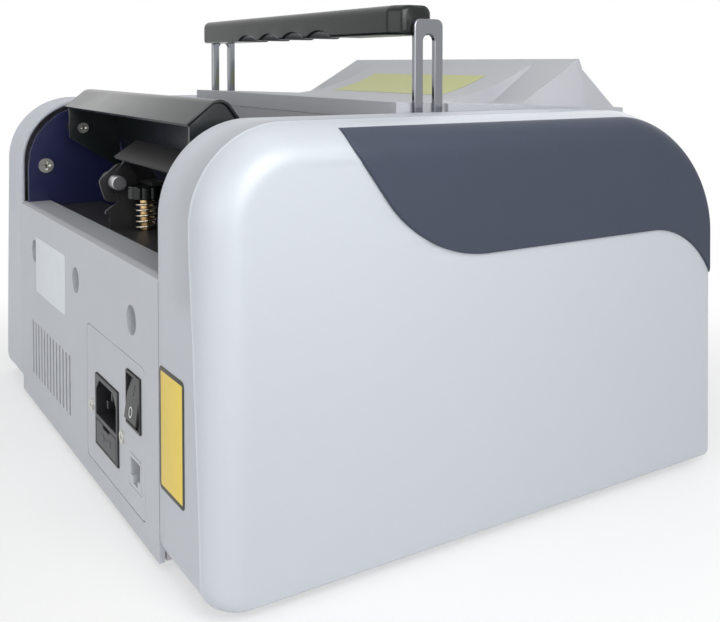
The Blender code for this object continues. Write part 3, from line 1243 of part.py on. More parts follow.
def make_belts_and_motor():
    """The drive belt on the left, the pick-up belt on the right, and the motor on its cradle."""
    drive = [(MOTOR_AXIS, MOTOR_PULLEY_RADIUS), (FEED_AXIS, FEED_PULLEY_RADIUS),
             (COUNTING_AXIS, COUNTING_PULLEY_RADIUS), (IMPELLER_AXIS, IMPELLER_PULLEY_RADIUS)]
    add_object("drive_belt", belt_mesh(drive, -PULLEY_X), "rubber")
    small = [(PICK_UP_AXIS, SMALL_PULLEY_RADIUS), (FEED_AXIS, SMALL_PULLEY_RADIUS)]
    add_object("pick_up_belt", belt_mesh(small, PULLEY_X), "rubber")
    start = -FRAME_INNER_X + CLEARANCE
    motor = add_object("drive_motor", rod_mesh(MOTOR_RADIUS, start, start + MOTOR_LENGTH, "X", MOTOR_AXIS, 28), "steel")
    cradle = [(MOTOR_AXIS[0] - MOTOR_BASE_HALF, FLOOR_Z), (MOTOR_AXIS[0] + MOTOR_BASE_HALF, FLOOR_Z),
              (MOTOR_AXIS[0] + MOTOR_BASE_HALF, MOTOR_AXIS[1]), (MOTOR_AXIS[0] - MOTOR_BASE_HALF, MOTOR_AXIS[1])]
    fuse(motor, plate_mesh([cradle], start + MOTOR_BASE_INSET, start + MOTOR_LENGTH - MOTOR_BASE_INSET))


# Adjusting gear
BRACKET_HALF = 20 * MM
BRACKET_SHEET = 2 * MM
SLEEVE_RADIUS = 5.2 * MM
BLOCK_ANGLE = 28
BLOCK_SPAN = 9
BLOCK_THICKNESS = 7 * MM
BLOCK_HALF = 17 * MM
BLOCK_GAP = 1.1 * MM
SCREW_RADIUS = 1.75 * MM
SCREW_TOP_DROP = 43.5 * MM
SCREW_TOP_Z = TOP_Z - SCREW_TOP_DROP
SPRING_TURNS = 5
SPRING_WIRE = 1.2 * MM
SPRING_RADIUS = 4.9 * MM
SPRING_POINTS_PER_TURN = 9
KNOB_FACETS = 12
SHELF_FRONT_FROM_REAR = 46 * MM
SHELF_FRONT_Y = REAR_Y - SHELF_FRONT_FROM_REAR
SHELF_REAR_FROM_REAR = 17.2 * MM
SHELF_REAR_Y = REAR_Y - SHELF_REAR_FROM_REAR
SHELF_FLANGE = 8 * MM
EAR_X = 11 * MM
EAR_SHEET = 2 * MM
SUPPORT_SPREAD = 79 * MM
SUPPORT_X = -EAR_X - SUPPORT_SPREAD
CHEEK_X = EAR_X + EAR_SHEET + CLEARANCE
SLEEVE_LENGTH = 6 * MM
PIN_HEAD_LENGTH = 8 * MM
RETARD_PIN_HEAD = 3.8 * MM
EAR_FRONT = -11.5 * MM
EAR_REAR = 2.5 * MM
EAR_TIP = (-3.8 * MM, 15.6 * MM)
EAR_PROFILE = ((2.7 * MM, -18.8 * MM), (5 * MM, -16.6 * MM), (4.6 * MM, -15 * MM), (-2.1 * MM, -10.4 * MM),
               (-1.2 * MM, -6 * MM), (3.4 * MM, -2.6 * MM), (3.7 * MM, 0.4 * MM), (-4.6 * MM, 9.9 * MM), EAR_TIP,
               (EAR_TIP[0] - SHEET, EAR_TIP[1]), (-7 * MM, 9.4 * MM), (-11.5 * MM, 3 * MM))
RIB_PLATE_LOW = (-0.7 * MM, 12.1 * MM)
RIB_PLATE_HIGH = (-12.6 * MM, 20.2 * MM)
STEM_RISE = 0.6 * MM
STEM_HEAD = 3 * MM
KNOB_BEVEL = 0.8 * MM
CHEEK_LOBE = 8.5 * MM
CHEEK_ROUND = 3 * MM
WEB_HALF = 8 * MM
WEB_BACK = 0.5 * MM


def polar(centre, radius, angle):
    """A point at a radius and an angle in degrees from a centre."""
    return (centre[0] + radius * cos(radians(angle)), centre[1] + radius * sin(radians(angle)))


def make_retard_gear():
    """The sprung bracket that holds the retard block behind the feed wheels."""
    near = FEED_RADIUS + BLOCK_GAP
    far = near + BLOCK_THICKNESS
    low, high = BLOCK_ANGLE - BLOCK_SPAN, BLOCK_ANGLE + BLOCK_SPAN
    face = arc(FEED_AXIS, near, low, high, 5) + arc(FEED_AXIS, far, high, low, 3)
    block = add_object("retard_block", plate_mesh([face], -BLOCK_HALF, BLOCK_HALF), "cream")
    put_origin(block, (0, *PIVOT_AXIS))
    seat = far + CLEARANCE
    backing = arc(FEED_AXIS, seat, low, high, 3) + arc(FEED_AXIS, seat + BRACKET_SHEET, high, low, 3)
    bracket = add_object("retard_bracket", plate_mesh([backing], -BRACKET_HALF, BRACKET_HALF), "black")
    pivot_y, pivot_z = PIVOT_AXIS
    lobe = CHEEK_LOBE
    turn = CHEEK_ROUND
    middle = seat + BRACKET_SHEET / 2
    tip_low = polar(FEED_AXIS, middle, low)
    tip_high = polar(FEED_AXIS, middle, high)
    cheek = rounded([(pivot_y + lobe * 0.9, pivot_z + lobe * 0.1, turn), (pivot_y - lobe * 0.3, pivot_z + lobe * 1.1, turn),
                     (pivot_y - lobe * 2.2, pivot_z + lobe * 0.9, turn), (*tip_high, turn / 3), (*tip_low, turn / 3),
                     (pivot_y - lobe * 1.6, pivot_z - lobe * 1.6, 2 * turn),
                     (pivot_y + lobe * 0.5, pivot_z - lobe * 1.2, turn)], 4)
    hole = circle(PIVOT_AXIS, PIVOT_RADIUS + CLEARANCE, 16)
    fuse(bracket, plate_mesh([cheek, hole], CHEEK_X, CHEEK_X + BRACKET_SHEET))
    sleeve = [circle(PIVOT_AXIS, SLEEVE_RADIUS, 16), hole]
    fuse(bracket, plate_mesh(sleeve, CHEEK_X + BRACKET_SHEET / 2, CHEEK_X + SLEEVE_LENGTH))
    web_low = KNOB_BOTTOM_Z + KNOB_HEIGHT + CLEARANCE
    fuse(bracket, box_mesh((-WEB_HALF, KNOB_Y - WEB_HALF, web_low),
                           (CHEEK_X + BRACKET_SHEET / 2, KNOB_Y - WEB_BACK, web_low + BRACKET_SHEET)))
    put_origin(bracket, (0, *PIVOT_AXIS))


def make_adjuster():
    """Pivot pin, shelf with its two ears and ribbed plate, brass stud and the faceted knob on top."""
    head_end = EAR_X - CLEARANCE
    pin = [(0, CHEEK_X + SLEEVE_LENGTH + SHAFT_END), (PIVOT_RADIUS, CHEEK_X + SLEEVE_LENGTH + SHAFT_END),
           (PIVOT_RADIUS, head_end), (RETARD_PIN_HEAD, head_end), (RETARD_PIN_HEAD, head_end - PIN_HEAD_LENGTH),
           (0, head_end - PIN_HEAD_LENGTH)]
    add_object("retard_pin", turned_mesh(pin, "X", PIVOT_AXIS, 20), "steel")
    path = [(SHELF_FRONT_Y, SHELF_TOP_Z - SHELF_FLANGE), (SHELF_FRONT_Y, SHELF_TOP_Z), (SHELF_REAR_Y, SHELF_TOP_Z),
            (SHELF_REAR_Y, SHELF_TOP_Z - SHELF_FLANGE)]
    shelf = add_object("mechanism_shelf", plate_mesh([strip(path, -SHEET)], -BETWEEN_FRAMES, BETWEEN_FRAMES), "black")
    cut(shelf, rod_mesh(SCREW_RADIUS + CLEARANCE, SHELF_TOP_Z - OVERRUN, SHELF_TOP_Z + OVERRUN, "Z", (0, KNOB_Y), 12))
    pivot_y, pivot_z = PIVOT_AXIS
    root = SHELF_TOP_Z - SHEET / 2
    ear = [(pivot_y + EAR_FRONT, root), (pivot_y + EAR_REAR, root)]
    ear += [(pivot_y + y, pivot_z + z) for y, z in EAR_PROFILE]
    hole = circle(PIVOT_AXIS, PIVOT_RADIUS + CLEARANCE, 16)
    fuse(shelf, plate_mesh([ear, hole], EAR_X, EAR_X + EAR_SHEET))
    fuse(shelf, plate_mesh([ear], SUPPORT_X - EAR_SHEET, SUPPORT_X))
    ribbed = [(pivot_y + y, pivot_z + z) for y, z in (RIB_PLATE_LOW, RIB_PLATE_HIGH)]
    fuse(shelf, plate_mesh([strip(ribbed, -SHEET)], SUPPORT_X - 2 * EAR_SHEET, EAR_X + EAR_SHEET / 2))
    head = STEM_HEAD
    under = SHELF_TOP_Z - SHEET - CLEARANCE - STEM_RISE
    screw = [(0, SCREW_TOP_Z), (SCREW_RADIUS, SCREW_TOP_Z), (SCREW_RADIUS, under), (head, under),
             (head, under - head), (0, under - head)]
    add_object("adjusting_screw", turned_mesh(screw, "Z", (0, KNOB_Y), 12), "brass")
    knob = rod_mesh(KNOB_RADIUS, KNOB_BOTTOM_Z, KNOB_BOTTOM_Z + KNOB_HEIGHT, "Z", (0, KNOB_Y), KNOB_FACETS)
    knob = bevel(add_object("adjusting_knob", knob, "black_gloss"), KNOB_BEVEL, 1)
    bore_top = SCREW_TOP_Z + CLEARANCE
    cut(knob, rod_mesh(SCREW_RADIUS + CLEARANCE, KNOB_BOTTOM_Z - OVERRUN, bore_top, "Z", (0, KNOB_Y), 12))
    knob_origin = Vector((0, KNOB_Y, KNOB_BOTTOM_Z))
    knob.data.transform(Matrix.Translation(-knob_origin))
    knob.location = knob_origin


def make_spring():
    """The compression spring between shelf and knob, one unbroken coil with closed ends."""
    low = SHELF_TOP_Z + CLEARANCE + SPRING_WIRE / 2
    high = KNOB_BOTTOM_Z - CLEARANCE - SPRING_WIRE / 2
    count = SPRING_TURNS * SPRING_POINTS_PER_TURN
    points = []
    for i in range(count + 1):
        share = i / count
        angle = 2 * pi * SPRING_TURNS * share
        points.append(Vector((SPRING_RADIUS * cos(angle), KNOB_Y + SPRING_RADIUS * sin(angle),
                              low + (high - low) * share)))
    points.insert(0, points[0] + Vector((0, -SPRING_WIRE, 0)))
    points.append(points[-1] + Vector((0, SPRING_WIRE, 0)))
    curve = bpy.data.curves.new("coil", "CURVE")
    curve.dimensions = "3D"
    curve.bevel_depth = SPRING_WIRE / 2
    curve.bevel_resolution = 1
    curve.use_fill_caps = True
    spline = curve.splines.new("POLY")
    spline.points.add(len(points) - 1)
    for point, place in zip(spline.points, points):
        point.co = (*place, 1)
    holder = bpy.data.objects.new("coil", curve)
    cutters.objects.link(holder)
    mesh = evaluated_mesh(holder)
    bpy.data.curves.remove(curve)
    add_object("adjusting_spring", mesh, "steel")
    far = SPRING_POINTS_PER_TURN // 2
    gap = min((points[i] - points[j]).length for i in range(len(points)) for j in range(i + far, len(points)))
    print(f"adjusting_spring: least gap to itself {(gap - SPRING_WIRE) / MM:.2f} mm")


# Note path behind and under the feed wheels
GUIDE_RUN = 3.5 * MM
GUIDE_ANGLES = (-4, -104)
GUIDE_LIP = 3 * MM
GUIDE_DROP = 2 * MM


def make_feed_guide():
    """A curved sheet round the feed wheels that leads notes on to the counting wheels."""
    radius = FEED_RADIUS + GUIDE_RUN
    path = arc(FEED_AXIS, radius, *GUIDE_ANGLES, 9)
    end_y = COUNTING_AXIS[0] + COUNTING_RADIUS + GUIDE_LIP
    path.append((end_y, path[-1][1] - GUIDE_DROP))
    add_object("feed_guide", plate_mesh([strip(path, -SHEET)], -BETWEEN_FRAMES, BETWEEN_FRAMES), "steel")


# Stacker
STACKER_FLOOR_Z = 23 * MM
STACKER_BACK_FROM_REAR = 198 * MM
STACKER_BACK_Y = REAR_Y - STACKER_BACK_FROM_REAR
STACKER_TOP_FROM_REAR = 186 * MM
STACKER_TOP_Z = 108 * MM
STACKER_TOP = (REAR_Y - STACKER_TOP_FROM_REAR, STACKER_TOP_Z)
STACKER_END_FROM_REAR = 148 * MM
STACKER_END_Y = REAR_Y - STACKER_END_FROM_REAR
STACKER_LEAN = 4 * MM
STACKER_SHOULDER = 14 * MM
STACKER_FALL = 6 * MM
STACKER_BENDS = (6 * MM, 8 * MM, 8 * MM, 10 * MM)
STACKER_SLOT_GAP = 2 * MM
STACKER_SLOT_RISE = 4 * MM


def make_stacker():
    """The tray, back plate and top guide of the stacker, slotted for the impeller wheels."""
    front = FRONT_Y + SHELL_WALL / 2
    first, second, third, last = STACKER_BENDS
    path = rounded([(front, FOOT_STAND, 0), (front, STACKER_FLOOR_Z, first), (STACKER_BACK_Y, STACKER_FLOOR_Z, second),
                    (STACKER_BACK_Y - STACKER_LEAN, STACKER_TOP[1] - STACKER_SHOULDER, third), (*STACKER_TOP, last),
                    (STACKER_END_Y, STACKER_TOP[1] - STACKER_FALL, 0)], 3)
    tray = add_object("stacker_tray", plate_mesh([strip(path, -SHELL_WALL)], -BETWEEN_FRAMES, BETWEEN_FRAMES), "silver")
    half = IMPELLER_WIDTH / 2 + STACKER_SLOT_GAP
    for side in (-1, 1):
        x = side * IMPELLER_X
        cut(tray, box_mesh((x - half, STACKER_BACK_Y - 3 * OVERRUN, STACKER_FLOOR_Z + STACKER_SLOT_RISE),
                           (x + half, IMPELLER_AXIS[0], IMPELLER_AXIS[1] + IMPELLER_RADIUS + STACKER_SLOT_GAP)))


# Electrical parts on the base
TRANSFORMER_LOW_FROM_REAR = 72 * MM
TRANSFORMER_LOW_X = 30 * MM
TRANSFORMER_LOW = (TRANSFORMER_LOW_X, REAR_Y - TRANSFORMER_LOW_FROM_REAR)
TRANSFORMER_SIZE = (54 * MM, 44 * MM, 38 * MM)
BOARD_SIZE = (150 * MM, 74 * MM)
TRANSFORMER_FOOT = 3 * MM
TRANSFORMER_BULGE = 8 * MM
BOARD_FROM_REAR = 166 * MM
BOARD_Y = REAR_Y - BOARD_FROM_REAR
BOARD_STAND = 6 * MM
BOARD_THICKNESS = 1.6 * MM
PEG_RADIUS = 3 * MM


def make_electrics():
    """A transformer with its core and coil, and a control board on pegs."""
    x, y = TRANSFORMER_LOW
    width, depth, height = TRANSFORMER_SIZE
    core = add_object("transformer", box_mesh((x, y, FLOOR_Z), (x + width, y + depth, FLOOR_Z + height)), "steel")
    fuse(core, box_mesh((x + width / 5, y - TRANSFORMER_BULGE, FLOOR_Z + TRANSFORMER_FOOT),
                        (x + width * 4 / 5, y + depth + TRANSFORMER_BULGE, FLOOR_Z + height - TRANSFORMER_FOOT)))
    low_z = FLOOR_Z + BOARD_STAND
    half_x, half_y = BOARD_SIZE[0] / 2, BOARD_SIZE[1] / 2
    board = add_object("control_board", box_mesh((-half_x, BOARD_Y - half_y, low_z),
                                                 (half_x, BOARD_Y + half_y, low_z + BOARD_THICKNESS)), "board")
    peg = PEG_RADIUS
    for sx in (-1, 1):
        for sy in (-1, 1):
            centre = (sx * (half_x - 2 * peg), BOARD_Y + sy * (half_y - 2 * peg))
            fuse(board, rod_mesh(peg, FLOOR_Z, low_z + BOARD_THICKNESS / 2, "Z", centre, 12))


make_base()
make_feet()
make_frames()
make_side_covers()
make_side_inserts()
make_rear_cover()
make_connector_panel()
make_inlet()
make_fuse_drawer()
make_switch()
make_phone_jack()
make_top_cover()
make_display()
make_hopper_plate()
make_hopper_bed()
make_hopper_guides()
make_handle()
make_drive()
make_impellers()
make_belts_and_motor()
make_retard_gear()
make_adjuster()
make_spring()
make_feed_guide()
make_stacker()
make_electrics()
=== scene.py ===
"""The looks of the banknote counter: its smooth outer shells, finishes and small fittings.

Everything is in metres in the model's own frame: +Z up, the stacker in front at -Y, the mains inlet
at the back at +Y.
"""
from math import atan2, cos, degrees, hypot, pi, radians, sin, sqrt, tan

import bmesh
import bpy
from mathutils import Matrix, Vector


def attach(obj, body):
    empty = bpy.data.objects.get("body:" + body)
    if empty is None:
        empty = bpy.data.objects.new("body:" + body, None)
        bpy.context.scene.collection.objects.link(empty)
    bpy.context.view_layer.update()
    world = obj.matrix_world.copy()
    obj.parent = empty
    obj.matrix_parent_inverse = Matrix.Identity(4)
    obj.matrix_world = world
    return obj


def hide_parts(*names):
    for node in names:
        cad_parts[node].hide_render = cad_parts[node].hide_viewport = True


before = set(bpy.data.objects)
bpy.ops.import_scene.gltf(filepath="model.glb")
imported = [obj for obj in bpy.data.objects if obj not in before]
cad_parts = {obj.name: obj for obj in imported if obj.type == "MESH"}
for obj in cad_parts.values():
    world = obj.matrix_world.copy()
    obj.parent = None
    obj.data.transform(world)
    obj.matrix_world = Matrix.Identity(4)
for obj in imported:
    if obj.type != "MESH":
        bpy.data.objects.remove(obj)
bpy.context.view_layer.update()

MM = 0.001
UP = Vector((0, 0, 1))

# Sizes shared with the model
REAR_Y = 134 * MM
FRONT_Y = -136 * MM
FOOT_Z = 3 * MM
TOP_Z = 180 * MM
BASE_X = 176.2 * MM
TOP_X = 173.7 * MM
SEAM_X = 123.7 * MM
SHELL = 2.4 * MM
RIM_X = 123.2 * MM
DECK_REAR_Y = 22 * MM
DECK_FRONT_Y = -125 * MM
DECK_REAR_Z = 185 * MM
DECK_FALL = 5.6 * MM
RIDGE = (-99 * MM, 205.7 * MM)
SHOULDER = (-101.5 * MM, 200 * MM)
RAMP_START_Y = -28 * MM
RAMP_HALF = 83 * MM
RAMP_POWER = 1.8
FACET_START_Y = -65 * MM
FLANK_START_Y = -58 * MM
FLANK_FOOT_X = 121.5 * MM
HUMP_TOP_X = 116 * MM
ARM_Y = 3.6 * MM
ARM_WIDTH = 16.2 * MM
ARM_SLOT = 6.4 * MM
ARM_INNER_X = 120.2 * MM
ARM_THICK = 2.8 * MM
ARM_TOP_Z = 223.6 * MM
ARM_BOTTOM_Z = 146 * MM
PIN_Z = 157 * MM
GRIP_Y = 10.3 * MM
GRIP_WIDTH = 20.6 * MM
GRIP_LOW_Z = 216 * MM
GRIP_TOP_Z = 230 * MM
GRIP_HALF = 119.9 * MM
KNOB_Y = 97.8 * MM
KNOB_RADIUS = 9 * MM

ACROSS = {
    "X": Matrix(((0, 0, 1, 0), (1, 0, 0, 0), (0, 1, 0, 0), (0, 0, 0, 1))),
    "Y": Matrix(((1, 0, 0, 0), (0, 0, -1, 0), (0, 1, 0, 0), (0, 0, 0, 1))),
    "Z": Matrix.Identity(4),
}


# Camera, where the photograph was taken from
def make_camera():
    """The camera at the photograph's place, with its lens shift."""
    yaw, pitch, roll = radians(56.087), radians(2.192), radians(0.194)
    forward = Vector((sin(yaw) * cos(pitch), -cos(yaw) * cos(pitch), -sin(pitch)))
    right = forward.cross(UP).normalized()
    up = right.cross(forward)
    turned_right = right * cos(roll) + up * sin(roll)
    turned_up = -right * sin(roll) + up * cos(roll)
    data = bpy.data.cameras.new("photo_camera")
    data.sensor_width = 36
    data.lens = 47.384
    data.shift_x = -0.07084
    data.shift_y = -0.29096
    data.clip_start = 0.01
    camera = bpy.data.objects.new("photo_camera", data)
    bpy.context.scene.collection.objects.link(camera)
    matrix = Matrix((turned_right, turned_up, -forward)).transposed().to_4x4()
    matrix.translation = Vector((-0.4862, 0.2579, 0.2019))
    camera.matrix_world = matrix
    bpy.context.scene.camera = camera


make_camera()


# Shader maths and finishes
class Amount:
    """A number in a material that takes Python's operators."""

    def __init__(self, finish, socket):
        self.finish = finish
        self.socket = socket

    def _with(self, operation, other, swapped=False):
        pair = (other, self) if swapped else (self, other)
        node = self.finish.add("ShaderNodeMath", {"operation": operation}, {0: pair[0], 1: pair[1]})
        return Amount(self.finish, node.outputs[0])

    def __add__(self, other):
        return self._with("ADD", other)

    __radd__ = __add__

    def __sub__(self, other):
        return self._with("SUBTRACT", other)

    def __rsub__(self, other):
        return self._with("SUBTRACT", other, True)

    def __mul__(self, other):
        return self._with("MULTIPLY", other)

    __rmul__ = __mul__

    def __pow__(self, other):
        return self._with("POWER", other)

    def __abs__(self):
        return self._with("ABSOLUTE", 0)

    def above(self, other):
        """The larger of two amounts."""
        return self._with("MAXIMUM", other)

    def step(self, low, high):
        """0 up to low, 1 from high on, smooth between."""
        node = self.finish.add("ShaderNodeMapRange", {"interpolation_type": "SMOOTHSTEP"},
                               {"Value": self, "From Min": low, "From Max": high})
        return Amount(self.finish, node.outputs[0])


class Finish:
    """One node-based material."""

    def __init__(self, name, roughness=0.5, metallic=0.0, **constants):
        self.material = bpy.data.materials.new(name)
        self.material.use_nodes = True
        self.tree = self.material.node_tree
        self.shader = self.tree.nodes["Principled BSDF"]
        self.base_roughness = roughness
        self.set("Roughness", roughness)
        self.set("Metallic", metallic)
        for socket, value in constants.items():
            self.set(socket.replace("_", " "), value)
        place = self.add("ShaderNodeTexCoord", {}, {})
        self.position = place.outputs["Object"]
        parts = self.add("ShaderNodeSeparateXYZ", {}, {0: self.position})
        self.x, self.y, self.z = (Amount(self, parts.outputs[i]) for i in range(3))

    def add(self, kind, settings, sockets):
        """A node of a kind, with its settings first and then its socket values or links."""
        node = self.tree.nodes.new(kind)
        for setting, value in settings.items():
            if setting == "stops":
                ramp = node.color_ramp
                for (place, colour), element in zip(value, ramp.elements):
                    element.position = place
                    element.color = colour
            else:
                setattr(node, setting, value)
        for key, value in sockets.items():
            socket = node.inputs[key]
            if isinstance(value, Amount):
                value = value.socket
            if isinstance(value, bpy.types.NodeSocket):
                self.tree.links.new(value, socket)
            else:
                socket.default_value = value
        return node

    def set(self, name, value):
        """Give one of the shader's inputs a value or a link."""
        socket = self.shader.inputs[name]
        if isinstance(value, Amount):
            value = value.socket
        if isinstance(value, bpy.types.NodeSocket):
            self.tree.links.new(value, socket)
        elif isinstance(value, tuple) and len(value) == 3 and len(socket.default_value) == 4:
            socket.default_value = (*value, 1)
        else:
            socket.default_value = value

    def noise(self, size, detail=2.0, stretch=None):
        """Soft noise from 0 to 1 with features of about a size in metres."""
        source = self.position
        if stretch:
            scaled = self.add("ShaderNodeVectorMath", {"operation": "MULTIPLY"}, {0: source, 1: stretch})
            source = scaled.outputs[0]
        node = self.add("ShaderNodeTexNoise", {}, {"Vector": source, "Scale": 1 / size, "Detail": detail})
        return Amount(self, node.outputs["Fac"])

    def cells(self, size):
        """Distance to the nearest of many scattered points."""
        node = self.add("ShaderNodeTexVoronoi", {}, {"Vector": self.position, "Scale": 1 / size})
        return Amount(self, node.outputs["Distance"])

    def mix(self, factor, first, second):
        """A colour between two."""
        pair = [(*c, 1) if isinstance(c, tuple) and len(c) == 3 else c for c in (first, second)]
        node = self.add("ShaderNodeMix", {"data_type": "RGBA"}, {0: factor, 6: pair[0], 7: pair[1]})
        return node.outputs[2]

    def mottled(self, colour, spread=0.04, size=0.03):
        """A colour that drifts a little, lighter and darker, over the piece."""
        darker = tuple(c * (1 - spread) for c in colour)
        lighter = tuple(c * (1 + spread) for c in colour)
        return self.mix(self.noise(size, 3.0), darker, lighter)

    def colour(self, value):
        """Set the base colour."""
        self.set("Base Color", value)
        return self

    def worn(self, spread=0.08, size=0.012):
        """Let the roughness drift as on handled surfaces."""
        self.set("Roughness", self.base_roughness - spread / 2 + self.noise(size, 4.0) * spread)
        return self

    def relief(self, height, depth):
        """Raise the surface by an amount between 0 and 1 times a depth in metres."""
        node = self.add("ShaderNodeBump", {}, {"Height": height, "Distance": depth, "Strength": 1.0})
        self.set("Normal", node.outputs[0])
        return self

    def rounded_box(self, across, up, centre, half, radius):
        """Signed distance from a rounded rectangle in two of the coordinates."""
        over_a = (abs(across - centre[0]) - (half[0] - radius)).above(0)
        over_b = (abs(up - centre[1]) - (half[1] - radius)).above(0)
        return (over_a * over_a + over_b * over_b) ** 0.5 - radius


def moulding(name, colour, roughness, grain=0.0006, relief=0.02 * MM, spread=0.03, **constants):
    """Moulded plastic with a fine spark grain and slow drifts of tone."""
    finish = Finish(name, roughness, **constants)
    finish.colour(finish.mottled(colour, spread))
    finish.worn(0.06)
    finish.relief(finish.noise(grain, 2.0), relief)
    return finish.material


def painted(name, colour, roughness, relief=0.015 * MM, **constants):
    """Painted metal with a faint orange peel."""
    finish = Finish(name, roughness, **constants)
    finish.colour(finish.mottled(colour, 0.08, 0.02))
    finish.worn(0.08, 0.02)
    finish.relief(finish.noise(1.6 * MM, 2.0), relief)
    return finish.material


def metal(name, colour, roughness, stretch=None, relief=0.004 * MM, spread=0.1):
    """Bare or plated metal, brushed along one axis if it has a stretch."""
    finish = Finish(name, roughness, 1.0)
    lines = finish.noise(0.5 * MM if stretch else 3 * MM, 3.0, stretch)
    darker = tuple(c * (1 - spread) for c in colour)
    finish.colour(finish.mix(lines, darker, colour))
    finish.set("Roughness", roughness * 0.8 + lines * roughness * 0.5)
    finish.relief(lines, relief)
    return finish.material


def covers_finish():
    """Satin silver moulding of the side covers: pearl flecks under a soft lacquer."""
    finish = Finish("satin_silver", 0.5, 0.15, Coat_Roughness=0.4)
    flecks = finish.cells(0.35 * MM).step(0.05, 0.5)
    base = finish.mottled((0.51, 0.54, 0.58), 0.015, 0.09)
    finish.colour(finish.mix(flecks * 0.25, base, (0.57, 0.59, 0.63)))
    finish.set("Coat Weight", 0.08 + finish.noise(0.04, 2.0) * 0.06)
    finish.worn(0.06, 0.03)
    finish.relief(finish.noise(0.5 * MM, 2.0), 0.006 * MM)
    return finish.material


def plate_finish(name, colour, border, centre, half, up_axis="z"):
    """A bare plate: plain field, with a dark rounded border line if it has one."""
    finish = Finish(name, 0.45)
    up = finish.z if up_axis == "z" else finish.y
    field = finish.mottled(colour, 0.03, 0.01)
    if border:
        edge = finish.rounded_box(finish.x, up, centre, half, 2.2 * MM)
        line = edge.step(-1.9 * MM, -1.6 * MM)
        field = finish.mix(line, field, (0.03, 0.027, 0.02))
    finish.colour(field)
    finish.worn(0.05, 0.006)
    finish.relief(finish.noise(1.2 * MM, 2.0), 0.006 * MM)
    return finish.material


YELLOW_CENTRE = (-138.6 * MM, 59.6 * MM)
YELLOW_HALF = (13.4 * MM, 24.4 * MM)
SILVER = covers_finish()
REAR_GREY = moulding("rear_light_grey", (0.53, 0.55, 0.58), 0.5)
# The sill grey is painted shade: a darker grey for the sill's level top, which is the rear cover's own light
# grey moulding.
SILL_SHADE_GREY = moulding("sill_painted_shade_grey", (0.36, 0.37, 0.39), 0.55)
# The lid grey is set darker than the rear grey as painted shade on its upward faces; the lid is the same
# light grey moulding.
LID_SHADED_GREY = moulding("lid_grey_painted_shade", (0.47, 0.48, 0.51), 0.48, 0.0007)
SLATE = moulding("dark_slate", (0.033, 0.041, 0.068), 0.6, 0.45 * MM, 0.03 * MM, 0.06)
NAVY = painted("navy_paint", (0.010, 0.012, 0.060), 0.34, Coat_Weight=0.2)
HOOD_BLACK = painted("hood_gloss_black", (0.014, 0.018, 0.019), 0.24, 0.006 * MM, Coat_Weight=0.2,
                     Coat_Roughness=0.08, Specular_IOR_Level=0.35)
GRIP_BLACK = moulding("grip_gloss_black", (0.006, 0.008, 0.008), 0.26, 0.9 * MM, 0.004 * MM, 0.1,
                      Coat_Weight=0.1, Coat_Roughness=0.1, Specular_IOR_Level=0.3)
BLACK = moulding("matt_black", (0.018, 0.018, 0.020), 0.46, 0.5 * MM, 0.02 * MM, 0.1)
INLET_BLACK = moulding("inlet_black", (0.022, 0.022, 0.026), 0.38, 0.5 * MM, 0.02 * MM, 0.1)
CHROME = metal("bright_chrome", (0.24, 0.25, 0.27), 0.1, None, 0.002 * MM, 0.05)
STEEL = metal("plain_steel", (0.56, 0.56, 0.58), 0.34, (0.05, 1, 1))
ZINC = metal("zinc_screws", (0.74, 0.73, 0.68), 0.3)
SPRING_STEEL = metal("spring_steel", (0.66, 0.58, 0.48), 0.25)
BRASS = metal("brass", (0.70, 0.50, 0.24), 0.28)
RUBBER = moulding("black_rubber", (0.025, 0.025, 0.027), 0.8, 0.7 * MM, 0.05 * MM, 0.15)
TREAD = moulding("blue_tyre", (0.045, 0.13, 0.26), 0.7, 0.7 * MM, 0.05 * MM, 0.12)
CREAM = moulding("cream_plastic", (0.66, 0.63, 0.54), 0.5)
BOARD = moulding("board_green", (0.02, 0.13, 0.06), 0.4, 0.9 * MM, 0.02 * MM, 0.2)
KEYCAP = moulding("keycap_grey", (0.62, 0.64, 0.67), 0.5)
WINDOW = moulding("tinted_window", (0.012, 0.012, 0.016), 0.08, 3 * MM, 0.001 * MM, 0.1, Coat_Weight=0.5)
MARK_WHITE = moulding("mark_white", (0.72, 0.74, 0.74), 0.5)
MARK_GREY = moulding("mark_grey", (0.10, 0.10, 0.11), 0.5)
YELLOW_PLATE = plate_finish("yellow_plate", (0.83, 0.62, 0.10), True, YELLOW_CENTRE, YELLOW_HALF)
WHITE_PLATE = plate_finish("white_plate", (0.72, 0.76, 0.80), False, (0, 0), (0, 0))
LIME_PLATE = plate_finish("lime_plate", (0.50, 0.52, 0.20), False, (0, 0), (0, 0))


# Mesh helpers
def piece_kept(name, mesh, body, finish, replaces=()):
    """Link a mesh as a named piece that rides on a body, without touching its normals."""
    item = bpy.data.objects.new(name, mesh)
    bpy.context.scene.collection.objects.link(item)
    finishes = finish if isinstance(finish, (list, tuple)) else [finish]
    indices = [face.material_index for face in mesh.polygons]
    mesh.materials.clear()
    for material in finishes:
        mesh.materials.append(material)
    for face, index in zip(mesh.polygons, indices):
        face.material_index = min(index, len(finishes) - 1)
    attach(item, body)
    if replaces:
        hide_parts(*replaces)
    return item


def piece(name, mesh, body, finish, replaces=(), smooth=35):
    """Link a mesh as a piece, shaded smooth up to an angle."""
    mesh.shade_smooth()
    mesh.set_sharp_from_angle(angle=radians(smooth))
    return piece_kept(name, mesh, body, finish, replaces)


def mesh_of(bm, merge=0.002 * MM):
    """Close a bmesh into a mesh with its faces pointing out."""
    bmesh.ops.remove_doubles(bm, verts=bm.verts, dist=merge)
    bmesh.ops.recalc_face_normals(bm, faces=bm.faces)
    mesh = bpy.data.meshes.new("shape")
    bm.to_mesh(mesh)
    bm.free()
    return mesh


def evaluated(item):
    """The plain mesh of an object after its modifiers; the object goes."""
    bpy.context.view_layer.update()
    depsgraph = bpy.context.evaluated_depsgraph_get()
    mesh = bpy.data.meshes.new_from_object(item.evaluated_get(depsgraph))
    bpy.data.objects.remove(item)
    return mesh


